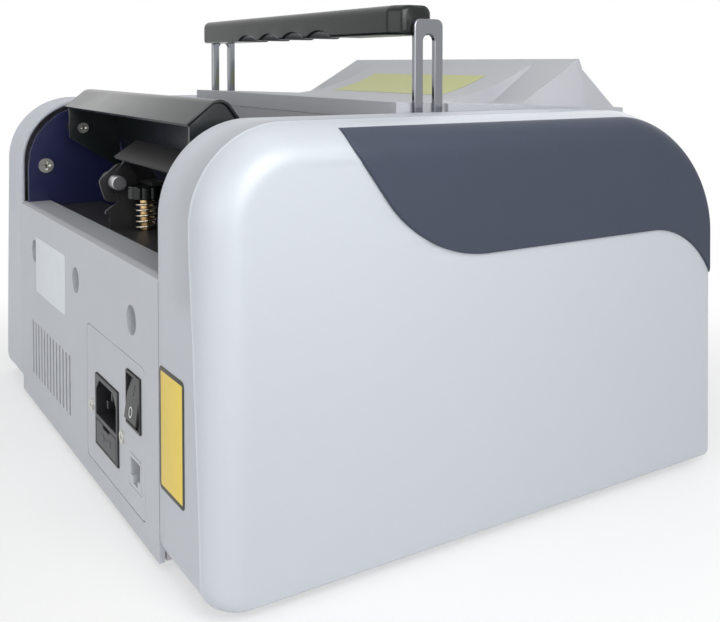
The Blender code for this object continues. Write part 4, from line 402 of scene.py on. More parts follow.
def holder(data):
    """A short-lived object that carries data through the modifiers."""
    item = bpy.data.objects.new("holder", data)
    bpy.context.scene.collection.objects.link(item)
    return item


def joined(*meshes):
    """Several meshes as one."""
    bm = bmesh.new()
    for mesh in meshes:
        bm.from_mesh(mesh)
    mesh = bpy.data.meshes.new("joined")
    bm.to_mesh(mesh)
    bm.free()
    return mesh


def box(low, high, edge=0.0, segments=2):
    """A box between two corners, with its edges rounded."""
    bm = bmesh.new()
    size = Vector(high) - Vector(low)
    centre = (Vector(high) + Vector(low)) / 2
    bmesh.ops.create_cube(bm, size=1, matrix=Matrix.Translation(centre) @ Matrix.Diagonal((*size, 1)))
    if edge:
        bmesh.ops.bevel(bm, geom=bm.edges[:], offset=edge, segments=segments, profile=0.5, affect="EDGES")
    return mesh_of(bm)


def plate(outlines, low, high, across="X", edge=0.0, segments=2):
    """Flat outlines, with any holes, given thickness along an axis and rounded edges."""
    curve = bpy.data.curves.new("outline", "CURVE")
    curve.dimensions = "2D"
    curve.fill_mode = "BOTH"
    curve.extrude = (high - low) / 2 - edge
    curve.bevel_depth = edge
    curve.bevel_resolution = segments
    curve.offset = -edge
    for outline in outlines:
        spline = curve.splines.new("POLY")
        spline.points.add(len(outline) - 1)
        for point, (a, b) in zip(spline.points, outline):
            point.co = (a, b, 0, 1)
        spline.use_cyclic_u = True
    mesh = evaluated(holder(curve))
    middle = (low + high) / 2
    mesh.transform(Matrix.Translation((0, 0, -middle if across == "Y" else middle)))
    mesh.transform(ACROSS[across])
    bm = bmesh.new()
    bm.from_mesh(mesh)
    return mesh_of(bm)


def turned(profile, axis="Z", centre=(0, 0), steps=32):
    """Turn a profile of (radius, place along the axis) into a closed round."""
    bm = bmesh.new()
    rings = []
    for radius, place in profile:
        if radius < 0.001 * MM:
            rings.append([bm.verts.new((0, 0, place))])
        else:
            angles = [2 * pi * i / steps for i in range(steps)]
            rings.append([bm.verts.new((radius * cos(a), radius * sin(a), place)) for a in angles])
    for first, second in zip(rings, rings[1:]):
        for i in range(steps):
            j = (i + 1) % steps
            corners = [first[i % len(first)], first[j % len(first)],
                       second[j % len(second)], second[i % len(second)]]
            unique = list(dict.fromkeys(corners))
            if len(unique) > 2:
                bm.faces.new(unique)
    mesh = mesh_of(bm)
    mesh.transform(ACROSS[axis] if axis != "Y" else ACROSS["Y"] @ Matrix.Rotation(pi, 4, "X"))
    offset = {"X": (0, *centre), "Y": (centre[0], 0, centre[1]), "Z": (*centre, 0)}[axis]
    mesh.transform(Matrix.Translation(offset))
    return mesh


def loft(rings):
    """Skin between rings of equal counts."""
    bm = bmesh.new()
    rows = [[bm.verts.new(point) for point in ring] for ring in rings]
    count = len(rings[0])
    for row, following in zip(rows, rows[1:]):
        for i in range(count):
            j = (i + 1) % count
            bm.faces.new((row[i], row[j], following[j], following[i]))
    bm.faces.new(rows[0])
    bm.faces.new(rows[-1])
    return mesh_of(bm)


def tube(points, radius):
    """A round tube along points, with closed ends."""
    curve = bpy.data.curves.new("path", "CURVE")
    curve.dimensions = "3D"
    curve.bevel_depth = radius
    curve.bevel_resolution = 3
    curve.use_fill_caps = True
    spline = curve.splines.new("POLY")
    spline.points.add(len(points) - 1)
    for point, place in zip(spline.points, points):
        point.co = (*place, 1)
    mesh = evaluated(holder(curve))
    bm = bmesh.new()
    bm.from_mesh(mesh)
    return mesh_of(bm)


def arc(centre, radius, start, end, steps):
    """Points along an arc, angles in degrees."""
    angles = [radians(start + (end - start) * i / steps) for i in range(steps + 1)]
    return [(centre[0] + radius * cos(a), centre[1] + radius * sin(a)) for a in angles]


def rounded(corners, steps=6):
    """An outline of (a, b, radius) corners, each with its radius drawn as an arc."""
    outline = []
    count = len(corners)
    for i, (a, b, radius) in enumerate(corners):
        here = Vector((a, b))
        if radius <= 0:
            outline.append((a, b))
            continue
        back = (Vector(corners[i - 1][:2]) - here).normalized()
        ahead = (Vector(corners[(i + 1) % count][:2]) - here).normalized()
        half = back.angle(ahead) / 2
        centre = here + (back + ahead).normalized() * (radius / sin(half))
        first = here + back * (radius / tan(half)) - centre
        last = here + ahead * (radius / tan(half)) - centre
        begin = atan2(first.y, first.x)
        sweep = (atan2(last.y, last.x) - begin + pi) % (2 * pi) - pi
        outline += arc(centre, radius, degrees(begin), degrees(begin + sweep), steps)
    return outline


def offset_corners(corners, insets):
    """Move each side of a cornered outline inwards; side i runs from corner i to the next."""
    count = len(corners)
    area = sum(corners[i][0] * corners[(i + 1) % count][1] - corners[(i + 1) % count][0] * corners[i][1]
               for i in range(count))
    turn = 1 if area > 0 else -1
    lines = []
    for i in range(count):
        start = Vector(corners[i][:2])
        along = (Vector(corners[(i + 1) % count][:2]) - start).normalized()
        inward = Vector((-along.y, along.x)) * turn
        lines.append((start + inward * insets[i], along))
    moved = []
    for i, (_, _, radius) in enumerate(corners):
        (p, d), (q, e) = lines[i - 1], lines[i]
        cross = d.x * e.y - d.y * e.x
        t = ((q.x - p.x) * e.y - (q.y - p.y) * e.x) / cross
        point = p + d * t
        reduced = radius - (insets[i - 1] + insets[i]) / 2
        moved.append((point.x, point.y, max(reduced, radius / 4)))
    return moved


def strip(path, thickness):
    """A closed outline that thickens an open path to its left side."""
    left = []
    for i, point in enumerate(path):
        before = Vector(path[max(i - 1, 0)])
        here = Vector(point)
        after = Vector(path[min(i + 1, len(path) - 1)])
        first = (here - before).normalized() if i > 0 else (after - here).normalized()
        second = (after - here).normalized() if i < len(path) - 1 else first
        normal = Vector((-first.y - second.y, first.x + second.x)).normalized()
        left.append(tuple(here + normal * (thickness / max(cos(first.angle(second) / 2), 0.3))))
    return list(path) + left[::-1]


def resample(path, count):
    """Points at even steps along an open path."""
    points = [Vector(p) for p in path]
    lengths = [0.0]
    for a, b in zip(points, points[1:]):
        lengths.append(lengths[-1] + (b - a).length)
    result = []
    k = 0
    for i in range(count):
        target = lengths[-1] * i / (count - 1)
        while k < len(points) - 2 and lengths[k + 1] < target:
            k += 1
        span = lengths[k + 1] - lengths[k]
        share = min(max((target - lengths[k]) / span, 0), 1) if span else 0
        result.append(points[k].lerp(points[k + 1], share))
    return result


DRESS_ANGLE = radians(34)


def dress(node, finish, body, edge, paint=None):
    """Stand a copy of a model node, with its edges rounded, in that node's place."""
    bm = bmesh.new()
    bm.from_mesh(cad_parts[node].data)
    bmesh.ops.remove_doubles(bm, verts=bm.verts, dist=0.004 * MM)
    bmesh.ops.dissolve_limit(bm, angle_limit=radians(1.0), verts=bm.verts, edges=bm.edges)
    if edge:
        sharp = [e for e in bm.edges if len(e.link_faces) == 2 and e.calc_face_angle(0) > DRESS_ANGLE]
        bmesh.ops.bevel(bm, geom=sharp, offset=edge, segments=2, profile=0.5, affect="EDGES",
                        clamp_overlap=True)
    if paint:
        for face in bm.faces:
            face.material_index = paint(face)
    mesh = bpy.data.meshes.new(f"{node}_finished")
    bmesh.ops.triangulate(bm, faces=[f for f in bm.faces if len(f.verts) > 4])
    bm.to_mesh(mesh)
    bm.free()
    item = holder(mesh)
    mesh.shade_smooth()
    mesh.set_sharp_from_angle(angle=radians(40))
    weigh = item.modifiers.new("weigh", "WEIGHTED_NORMAL")
    weigh.keep_sharp = True
    weigh.weight = 80
    finished = evaluated(item)
    return piece_kept(f"{node}_finished", finished, body, finish, (node,))


# Side covers and their inserts
ROUND_DEPTH = 15 * MM
ROUND_FRONT = 3 * MM
ROUND_BOTTOM = 2.5 * MM
ROUND_WIDE = 16.8 * MM
ROUND_NARROW = 8 * MM
TAPER_Z = 136 * MM
TAPER_POWER = 1.4
REAR_RADIUS = 38 * MM
FRONT_RADIUS = 58 * MM
COVER_CORNERS = [(REAR_Y, FOOT_Z, 12 * MM), (REAR_Y, TOP_Z, REAR_RADIUS), (FRONT_Y, TOP_Z, FRONT_RADIUS),
                 (FRONT_Y, FOOT_Z, 5 * MM)]
BEAD = [(1.05, 0), (1.04, -0.012), (1.02, -0.02), (1.0, -0.012)]
SWEEP = [(0.985, 0), (0.5, 0.1), (0, 0.42), (0, 1)]
CORNER_STEPS = 18
INSERT_RAISE = 1.2 * MM
INSERT_GAP = 0.3 * MM
INSERT_MARGIN = 2.5 * MM
INSERT_LIP = 0.9 * MM
NEAR_FOOT = [0, 0.25 * MM, 0.6 * MM, 1.1 * MM]
NEAR_TOP = [12 * MM, 9 * MM, 6.5 * MM, 4.5 * MM, 3 * MM, 1.8 * MM, 1.1 * MM, 0.6 * MM, 0.25 * MM, 0]
WAVE = [(76.3 * MM, 186 * MM, 0), (75.9 * MM, 171.9 * MM, 18 * MM), (40.5 * MM, 122.8 * MM, 62 * MM),
        (-128 * MM, 122.8 * MM, 47 * MM), (-139 * MM, 81.7 * MM, 0)]
MOUTH_LIP = 0.7 * MM
MOUTH_DEPTH = 22 * MM
RIM_DEPTH = 9 * MM
FACE_RINGS = 64
FACE_CENTRE = Vector((10 * MM, 92 * MM))
COVE_WIDTH = 11 * MM
COVE_DEPTH = 1.9 * MM
COVE_REACH = 0.42


def face_x(z):
    """Half width of the flat side at a height."""
    return BASE_X + (TOP_X - BASE_X) * (z - FOOT_Z) / (TOP_Z - FOOT_Z)


def round_width(z):
    """How far in from the flat side the rounding starts."""
    share = min(max((z - FOOT_Z) / (TAPER_Z - FOOT_Z), 0), 1)
    return ROUND_NARROW + (ROUND_WIDE - ROUND_NARROW) * share ** TAPER_POWER


def round_profile(steps=24):
    """The rounding's section as shares (how far in from the side, how deep from the rim wall)."""
    section = list(BEAD)
    for i in range(steps + 1):
        t = i / steps
        weights = ((1 - t) ** 3, 3 * t * (1 - t) ** 2, 3 * t * t * (1 - t), t ** 3)
        section.append(tuple(sum(w * point[k] for w, point in zip(weights, SWEEP)) for k in (0, 1)))
    return section


SECTION = round_profile()


def even_outline(corners, per_side=10):
    """A rounded outline with points along its straight sides as well."""
    points = rounded(corners, CORNER_STEPS)
    spread = []
    count = CORNER_STEPS + 1
    for k in range(4):
        group = points[k * count:(k + 1) * count]
        spread += group
        a = Vector(group[-1])
        b = Vector(points[((k + 1) * count) % len(points)])
        spread += [tuple(a.lerp(b, (i + 1) / (per_side + 1))) for i in range(per_side)]
    return spread


def inside_depth(y, z, depth=0.0):
    """How far a point of the side view lies inside the cover's outline, drawn in by a depth."""
    front = depth * ROUND_FRONT / ROUND_DEPTH
    inside = min(REAR_Y - depth - y, y - FRONT_Y - front, TOP_Z - depth - z)
    for edge_y, turn, radius in ((REAR_Y - depth, -1, REAR_RADIUS - depth),
                                 (FRONT_Y + front, 1, FRONT_RADIUS - (depth + front) / 2)):
        centre_y = edge_y + turn * radius
        centre_z = TOP_Z - depth - radius
        if (y - centre_y) * -turn > 0 and z > centre_z:
            inside = min(inside, radius - hypot(y - centre_y, z - centre_z))
    return inside


def surface_x(y, z):
    """Half width of the cover's outer surface over its upper part."""
    low, high = 0.0, ROUND_DEPTH
    if inside_depth(y, z, high) >= 0:
        return face_x(z)
    for _ in range(24):
        middle = (low + high) / 2
        if inside_depth(y, z, middle) >= 0:
            low = middle
        else:
            high = middle
    share = low / ROUND_DEPTH
    for (in_a, deep_a), (in_b, deep_b) in zip(SECTION[3:], SECTION[4:]):
        if share <= deep_b:
            part = max((share - deep_a) / (deep_b - deep_a), 0)
            return face_x(z) - round_width(z) * (in_a + (in_b - in_a) * part)
    return face_x(z)


def wave_lines():
    """The insert's lower edge from its top rear corner to its front tip, and its upper edge."""
    lower = rounded(WAVE, 24)
    limit = rounded(offset_corners(COVER_CORNERS, [INSERT_MARGIN] * 4), 40)
    count = 41
    top_front = limit[2 * count:3 * count]
    start = next(p for p in resample(lower, 900) if p.y <= TOP_Z - INSERT_MARGIN)
    upper = [(start.x, TOP_Z - INSERT_MARGIN)] + [p for p in top_front]
    front = limit[3 * count]
    upper.append((front[0], 92 * MM))
    dense = resample(lower, 900)
    kept = [p for p in dense if p.y <= TOP_Z - INSERT_MARGIN and inside_depth(p.x, p.y) >= INSERT_MARGIN]
    tip = kept[-1]
    upper_dense = [p for p in resample(upper, 900) if p.y >= tip.y]
    upper_dense.append(tip)
    return kept, upper_dense


def cove_depth(point, lower):
    """How deep the sloping band is at a point outside the insert's rear and lower edge."""
    best = 1.0
    place = 0
    for i in range(0, len(lower), 4):
        d = (lower[i] - point).length
        if d < best:
            best = d
            place = i
    along = place / len(lower)
    width = COVE_WIDTH * max(1 - along / COVE_REACH, 0)
    if width < 0.5 * MM or best > width:
        return 0.0
    return COVE_DEPTH * min(1 - best / width, 0.75) * min(width / COVE_WIDTH * 1.5, 1)


def make_side_covers(lower):
    """Two smooth shells with a soft cove along the rear of each insert."""
    lip = MOUTH_LIP
    for side, name in ((-1, "left"), (1, "right")):
        rings = []
        plain = even_outline(COVER_CORNERS)
        mouth_inner = even_outline(offset_corners(COVER_CORNERS, [SHELL] * 4))
        middle = even_outline(offset_corners(COVER_CORNERS, [SHELL / 2] * 4))
        deep_x = side * (SEAM_X + MOUTH_DEPTH)
        rings.append([(deep_x, y, z) for y, z in mouth_inner])
        rings.append([(side * (SEAM_X + lip), y, z) for y, z in mouth_inner])
        near = even_outline(offset_corners(COVER_CORNERS, [SHELL - lip * 0.7] * 4))
        rings.append([(side * (SEAM_X + lip * 0.2), y, z) for y, z in near])
        rings.append([(side * SEAM_X, y, z) for y, z in middle])
        near = even_outline(offset_corners(COVER_CORNERS, [lip * 0.3] * 4))
        rings.append([(side * (SEAM_X + lip * 0.2), y, z) for y, z in near])
        rings.append([(side * (SEAM_X + lip), y, z) for y, z in plain])
        rings.append([(side * (SEAM_X + RIM_DEPTH), y, z) for y, z in plain])
        for share_in, share_deep in SECTION:
            depth, front, low = (share_deep * size for size in (ROUND_DEPTH, ROUND_FRONT, ROUND_BOTTOM))
            last = even_outline(offset_corners(COVER_CORNERS, (depth, depth, front, low)))
            rings.append([(side * (face_x(z) - round_width(z0) * share_in), y, z)
                          for (y, z), (_, z0) in zip(last, plain)])
        for step in range(1, FACE_RINGS):
            share = 1 - step / FACE_RINGS
            ring = []
            for y, z in last:
                p = FACE_CENTRE + (Vector((y, z)) - FACE_CENTRE) * share
                sunk = 0.0 if inside_insert(p, lower) else cove_depth(p, lower)
                ring.append((side * (face_x(p.y) - sunk), p.x, p.y))
            rings.append(ring)
        inner = even_outline(offset_corners(COVER_CORNERS, [ROUND_DEPTH + SHELL] * 4))
        back = [(side * (TOP_X - 2 * SHELL), y, z) for y, z in inner]
        mesh = loft([back] + rings)
        piece(f"side_shell_{name}", mesh, "machine", SILVER, (f"side_cover_{name}",), 50)


def inside_insert(point, lower):
    """Whether a point of the side view lies under the insert."""
    if point.y < 95 * MM:
        return False
    for a, b in zip(lower[::6], lower[6::6]):
        low, high = sorted((a.x, b.x))
        if low <= point.x <= high and high > low:
            share = (point.x - a.x) / (b.x - a.x)
            return point.y > a.y + (b.y - a.y) * share
    return point.x < lower[-1].x


def make_inserts(lower, upper):
    """Slate panels that follow the cover's rounding, with a softened edge all round."""
    columns = 120
    low = resample(lower, columns)
    high = resample(upper, columns)
    for side, name in ((-1, "left"), (1, "right")):
        bm = bmesh.new()
        grid = []
        for a, b in zip(low, high):
            length = max((b - a).length, 1e-6)
            first = [min(d / length, 0.5) for d in NEAR_FOOT]
            middle = [0.02 + 0.86 * i / 12 for i in range(1, 12)]
            near_top = [1 - min(d / length, 0.5) for d in NEAR_TOP]
            shares = sorted(first + middle + near_top)
            column = []
            for share in shares:
                p = a.lerp(b, share)
                edge = min(share, 1 - share) * length
                ends = min((p - low[0]).length, (p - low[-1]).length)
                rise = min(edge, ends, INSERT_LIP) / INSERT_LIP
                rise = sqrt(max(1 - (1 - rise) ** 2, 0))
                x = surface_x(p.x, p.y) + INSERT_GAP + INSERT_RAISE * (0.35 + 0.65 * rise)
                column.append(bm.verts.new((side * x, p.x, p.y)))
            grid.append(column)
        for left, right in zip(grid, grid[1:]):
            for i in range(len(left) - 1):
                bm.faces.new((left[i], left[i + 1], right[i + 1], right[i]))
        bmesh.ops.remove_doubles(bm, verts=bm.verts, dist=0.003 * MM)
        rim = [e for e in bm.edges if len(e.link_faces) == 1]
        made = bmesh.ops.extrude_edge_only(bm, edges=rim)
        for vert in [v for v in made["geom"] if isinstance(v, bmesh.types.BMVert)]:
            vert.co.x -= side * INSERT_RAISE * 0.8
        rim = [e for e in bm.edges if len(e.link_faces) == 1]
        bmesh.ops.contextual_create(bm, geom=rim)
        bmesh.ops.triangulate(bm, faces=[f for f in bm.faces if len(f.verts) > 4])
        piece(f"insert_{name}", mesh_of(bm), "machine", SLATE, (f"side_insert_{name}",), 50)


# Lid
LID_LOW_Z = 150 * MM
LID_REAR_LOW_Z = 176.5 * MM
RAMP_STEP = 1.5 * MM
REAR_WALL = ((-116.3 * MM, 19.9 * MM, 147 * MM), (116.3 * MM, 21.7 * MM, 178 * MM))
ARM_NOTCH_Z = (170 * MM, 190 * MM)


def deck_z(y):
    """Height of the flat deck."""
    return DECK_REAR_Z - DECK_FALL * (DECK_REAR_Y - y) / (DECK_REAR_Y - DECK_FRONT_Y)


def ramp_z(y):
    """Height of the dished ramp."""
    share = min(max((RAMP_START_Y - y) / (RAMP_START_Y - RIDGE[0]), 0), 1)
    return deck_z(RAMP_START_Y) + (RIDGE[1] - deck_z(RAMP_START_Y)) * share ** RAMP_POWER


def facet_z(y, start):
    """Height of the straight slope beside the ramp, which rises from the deck at its start."""
    share = min(max((start - y) / (start - RIDGE[0]), 0), 1)
    return deck_z(start) + (RIDGE[1] - deck_z(start)) * share


def make_lid():
    """The lid with a fine dished ramp, crisp facets and notches for the arms."""
    ys = [DECK_REAR_Y - 0.01 * MM, 12 * MM, 0, -14 * MM, RAMP_START_Y]
    ys += [RAMP_START_Y + (RIDGE[0] - RAMP_START_Y) * i / 24 for i in range(1, 24)] + [RIDGE[0]]
    ys = sorted(set(ys + [FACET_START_Y, FLANK_START_Y]), reverse=True)

    def section(x, kind, inset):
        rear = DECK_REAR_Y - inset
        front = DECK_FRONT_Y + inset
        low = LID_LOW_Z - (3 * MM if inset else 0)
        rear_low = low if inset else LID_REAR_LOW_Z
        ring = [(-62 * MM, low), (-62 * MM, rear_low)] if not inset else [(-60 * MM, low), (-50 * MM, low)]
        ring += [(rear, rear_low), (rear, deck_z(DECK_REAR_Y) - inset)]
        for y in ys[1:]:
            height = {"rim": deck_z(y), "flank": facet_z(y, FLANK_START_Y),
                      "facet": facet_z(y, FACET_START_Y), "ramp": ramp_z(y)}[kind]
            height = max(height, deck_z(y))
            ring.append((y, height - inset))
        shoulder = SHOULDER[0] + inset / 2
        ring.append((shoulder, (deck_z(shoulder) if kind == "rim" else SHOULDER[1]) - inset))
        ring += [(front, deck_z(DECK_FRONT_Y) - inset), (front, low)]
        return [(x, y, z) for y, z in ring]

    def block(inset):
        places = [(RIM_X - inset, "rim"), (FLANK_FOOT_X - inset, "rim"), (HUMP_TOP_X - inset, "flank"),
                  (RAMP_HALF + RAMP_STEP - inset, "facet"), (RAMP_HALF - inset, "ramp")]
        rings = [section(-x, kind, inset) for x, kind in places]
        rings += [section(x, kind, inset) for x, kind in places[::-1]]
        return loft(rings)

    lid = holder(block(0))
    half = ARM_WIDTH / 2 + 3 * MM
    shapes = [("DIFFERENCE", block(SHELL)), ("UNION", box(*REAR_WALL))]
    for side in (-1, 1):
        wall_x = side * (ARM_INNER_X - 0.3 * MM)
        low_x, high_x = sorted((wall_x - side * SHELL, side * (RIM_X - 1.2 * MM)))
        shapes.append(("UNION", box((low_x, ARM_Y - half - SHELL, 176.8 * MM),
                                    (high_x, ARM_Y + half + SHELL, deck_z(ARM_Y) - SHELL / 2))))
    for side in (-1, 1):
        low_x, high_x = sorted((side * (ARM_INNER_X - 0.3 * MM), side * (RIM_X + 3 * MM)))
        shapes.append(("DIFFERENCE", box((low_x, ARM_Y - half, ARM_NOTCH_Z[0]),
                                         (high_x, ARM_Y + half, ARM_NOTCH_Z[1]))))
    shapes += [("DIFFERENCE", shape) for shape in slope_openings()]
    cutters = []
    for operation, shape in shapes:
        cutter = holder(shape)
        cutter.hide_render = True
        modifier = lid.modifiers.new("shape", "BOOLEAN")
        modifier.operation = operation
        modifier.object = cutter
        cutters.append(cutter)
    mesh = evaluated(lid)
    for cutter in cutters:
        bpy.data.objects.remove(cutter)
    bm = bmesh.new()
    bm.from_mesh(mesh)
    bmesh.ops.remove_doubles(bm, verts=bm.verts, dist=0.004 * MM)
    sharp = [e for e in bm.edges if len(e.link_faces) == 2 and e.calc_face_angle(0) > radians(24)]
    bmesh.ops.bevel(bm, geom=sharp, offset=0.5 * MM, segments=2, profile=0.5, affect="EDGES",
                    clamp_overlap=True)
    mesh = bpy.data.meshes.new("lid")
    bm.to_mesh(mesh)
    bm.free()
    item = holder(mesh)
    mesh.shade_smooth()
    mesh.set_sharp_from_angle(angle=radians(40))
    weigh = item.modifiers.new("weigh", "WEIGHTED_NORMAL")
    weigh.keep_sharp = True
    # The lid's darker grey is painted shade on its upward faces.
    piece_kept("lid", evaluated(item), "machine", LID_SHADED_GREY, ("top_cover",))


SLOPE_TOP = Vector((0, *SHOULDER))
SLOPE_FOOT = Vector((0, DECK_FRONT_Y, DECK_REAR_Z - DECK_FALL))


def slope_frame(x):
    """X across, Y up the display slope, Z out of it."""
    up = (SLOPE_TOP - SLOPE_FOOT).normalized()
    across = Vector((1, 0, 0))
    matrix = Matrix((across, up, across.cross(up))).transposed().to_4x4()
    return Matrix.Translation((SLOPE_TOP + SLOPE_FOOT) / 2 + Vector((x, 0, 0))) @ matrix


def on_slope(x, mesh):
    """Put a mesh drawn flat on to the display slope."""
    mesh.transform(slope_frame(x))
    return mesh


WINDOW_X = -42 * MM
KEY_XS = [24 * MM + i * 22 * MM for i in range(4)]


def slope_openings():
    """Cutters for the window and the keys."""
    yield on_slope(WINDOW_X, box((-38 * MM, -8.5 * MM, -8 * MM), (38 * MM, 8.5 * MM, 8 * MM)))
    for x in KEY_XS:
        yield on_slope(x, box((-7.5 * MM, -4.5 * MM, -8 * MM), (7.5 * MM, 4.5 * MM, 8 * MM)))


def make_display():
    """Tinted window and four keycaps on the front slope."""
    window = rounded([(-37.7 * MM, -8.2 * MM, MM), (37.7 * MM, -8.2 * MM, MM), (37.7 * MM, 8.2 * MM, MM),
                      (-37.7 * MM, 8.2 * MM, MM)], 4)
    piece("display_pane", on_slope(WINDOW_X, plate([window], -2 * MM, 0, "Z", 0.2 * MM)), "machine", WINDOW,
          ("display_window",))
    names = ("mode", "minus", "plus", "reset")
    for x, name in zip(KEY_XS, names):
        cap = [(-7.2, -4.2), (7.2, -4.2), (7.2, 4.2), (-7.2, 4.2)]
        outline = rounded([(a * MM, b * MM, 1.4 * MM) for a, b in cap], 5)
        mesh = on_slope(x, plate([outline], -3.5 * MM, 1.5 * MM, "Z", 0.5 * MM, 3))
        piece(f"keycap_{name}", mesh, f"{name}_key", KEYCAP, (f"key_{name}",))


# Hood of the hopper
HOOD_BENDS = [(113.4 * MM, 176.6 * MM, 0), (97.2 * MM, 189.9 * MM, 7 * MM), (84 * MM, 172 * MM, 55 * MM),
              (71.5 * MM, 127 * MM, 0)]
HOOD_HALF = 101 * MM
HOOD_SCREW = (103.5 * MM, 163.5 * MM)
POST_RADIUS = 5 * MM
POST_EDGE = 0.6 * MM


def make_hood():
    """The glossy bent sheet with its end cheeks and standoffs."""
    path = rounded(HOOD_BENDS, 16)
    half = HOOD_HALF
    sheet = plate([strip(path, 1.5 * MM)], -half, half, "X", 0.35 * MM)
    shapes = [sheet]
    middle = strip(path, 0.75 * MM)[len(path):][::-1]
    start = tuple(Vector(middle[0]).lerp(Vector(middle[1]), 0.12))
    cheek = [start] + middle[1:-1] + rounded([(80 * MM, 137 * MM, 0), (111.5 * MM, 158 * MM, 0)], 1)
    for side in (-1, 1):
        low, high = sorted((side * 99.8 * MM, side * 98.3 * MM))
        shapes.append(plate([cheek], low, high, "X", 0.2 * MM))
        low, high = sorted((side * 99.05 * MM, side * 116.3 * MM))
        end = POST_RADIUS - POST_EDGE
        post = [(0, high), (end, high), (POST_RADIUS, high - POST_EDGE), (POST_RADIUS, low + POST_EDGE),
                (end, low), (0, low)]
        shapes.append(turned(post, "X", HOOD_SCREW))
    piece("hood", joined(*shapes), "machine", HOOD_BLACK, ("hopper_plate",), 40)


# Carry handle
GRIP_STATIONS = 200
FINGER_PITCH = 30 * MM
FINGER_DEPTH = 3 * MM
FINGER_RADIUS = 26 * MM


def make_handle():
    """Grip with a flattened crown and scalloped underside, and two chrome arms."""
    rear = GRIP_Y + GRIP_WIDTH / 2
    front = GRIP_Y - GRIP_WIDTH / 2
    rings = []
    for i in range(GRIP_STATIONS + 1):
        x = -GRIP_HALF + 2 * GRIP_HALF * i / GRIP_STATIONS
        lift = 0.0
        for k in range(4):
            centre = (k - 1.5) * FINGER_PITCH
            off = abs(x - centre)
            if off < FINGER_RADIUS:
                rise = sqrt(FINGER_RADIUS * FINGER_RADIUS - off * off)
                lift = max(lift, rise - (FINGER_RADIUS - FINGER_DEPTH))
        ends = min(GRIP_HALF - abs(x), 1.5 * MM) / (1.5 * MM)
        inset = 1.2 * MM * (1 - sqrt(max(1 - (1 - ends) ** 2, 0)))
        low = GRIP_LOW_Z + lift + inset
        back = rear - inset - max(0, abs(x) - (GRIP_HALF - 7 * MM)) * 5 / 7
        corners = [(back, low, 1.6 * MM), (front + inset, low, 1.6 * MM),
                   (front + inset, GRIP_TOP_Z - inset, 4.4 * MM), (back, GRIP_TOP_Z - inset, 4.4 * MM)]
        rings.append([(x, y, z) for y, z in rounded(corners, 7)])
    piece("grip", loft(rings), "handle", GRIP_BLACK, ("handle_grip",), 40)
    half = ARM_WIDTH / 2
    outline = rounded([(ARM_Y + half, ARM_BOTTOM_Z, 3 * MM), (ARM_Y + half, ARM_TOP_Z, 3.4 * MM),
                       (ARM_Y - half, ARM_TOP_Z, 3.4 * MM), (ARM_Y - half, ARM_BOTTOM_Z, 3 * MM)], 10)
    r = ARM_SLOT / 2
    slot = arc((ARM_Y, GRIP_LOW_Z - r + 0.3 * MM), r, 0, 180, 16) + arc((ARM_Y, PIN_Z), r, 180, 360, 16)
    for side, name in ((-1, "left"), (1, "right")):
        low, high = sorted((side * ARM_INNER_X, side * (ARM_INNER_X + ARM_THICK)))
        arm = plate([outline, slot], low, high, "X", 0.7 * MM, 4)
        low, high = sorted((side * 104.9 * MM, side * (ARM_INNER_X + ARM_THICK / 2)))
        tab = box((low, ARM_Y - half + 3 * MM, ARM_TOP_Z - ARM_THICK),
                  (high, ARM_Y + half - 3 * MM, ARM_TOP_Z - 0.02 * MM), 0.4 * MM)
        piece(f"arm_{name}", joined(arm, tab), "handle", CHROME, (f"handle_arm_{name}",), 40)


# Adjusting gear in the rear recess
SPRING_TURNS = 5
SPRING_RADIUS = 4.9 * MM


def make_adjusting_gear():
    """Ribbed knob, smooth spring and brass stud with a nut."""
    facets = 12
    low, high = 132 * MM, 138.7 * MM
    rings = []
    for z, scale in ((low, 0.94), (low + 0.5 * MM, 1), (high - 0.5 * MM, 1), (high, 0.94)):
        ring = []
        for i in range(facets * 4):
            angle = 2 * pi * i / (facets * 4)
            bite = 0.94 if i % 4 == 0 else 1.0
            reach = KNOB_RADIUS * scale * bite
            ring.append((reach * cos(angle), KNOB_Y + reach * sin(angle), z))
        rings.append(ring)
    piece("knob", loft(rings), "adjuster_knob", GRIP_BLACK, ("adjusting_knob",), 30)
    wire = 0.6 * MM
    bottom = 115.9 * MM + wire
    top = 131.7 * MM - wire
    count = SPRING_TURNS * 28
    coil = [(SPRING_RADIUS * cos(2 * pi * SPRING_TURNS * i / count),
             KNOB_Y + SPRING_RADIUS * sin(2 * pi * SPRING_TURNS * i / count),
             bottom + (top - bottom) * i / count) for i in range(count + 1)]
    piece("spring", tube(coil, wire), "machine", SPRING_STEEL, ("adjusting_spring",), 60)
    stud = [(0, 136.5), (1.3, 136.5), (1.75, 136), (1.75, 133), (3.1, 131.6), (3.1, 116.1), (1.75, 116),
            (1.75, 113.2), (3, 113.2), (3, 110.2), (0, 110.2)]
    piece("stud", turned([(r * MM, z * MM) for r, z in stud], "Z", (0, KNOB_Y), 28), "adjuster_stem", BRASS,
          ("adjusting_screw",), 40)


# Bare plates, screws and other small fittings
PLATE_GAP = 0.02 * MM
PLATE_EDGE = 0.06 * MM


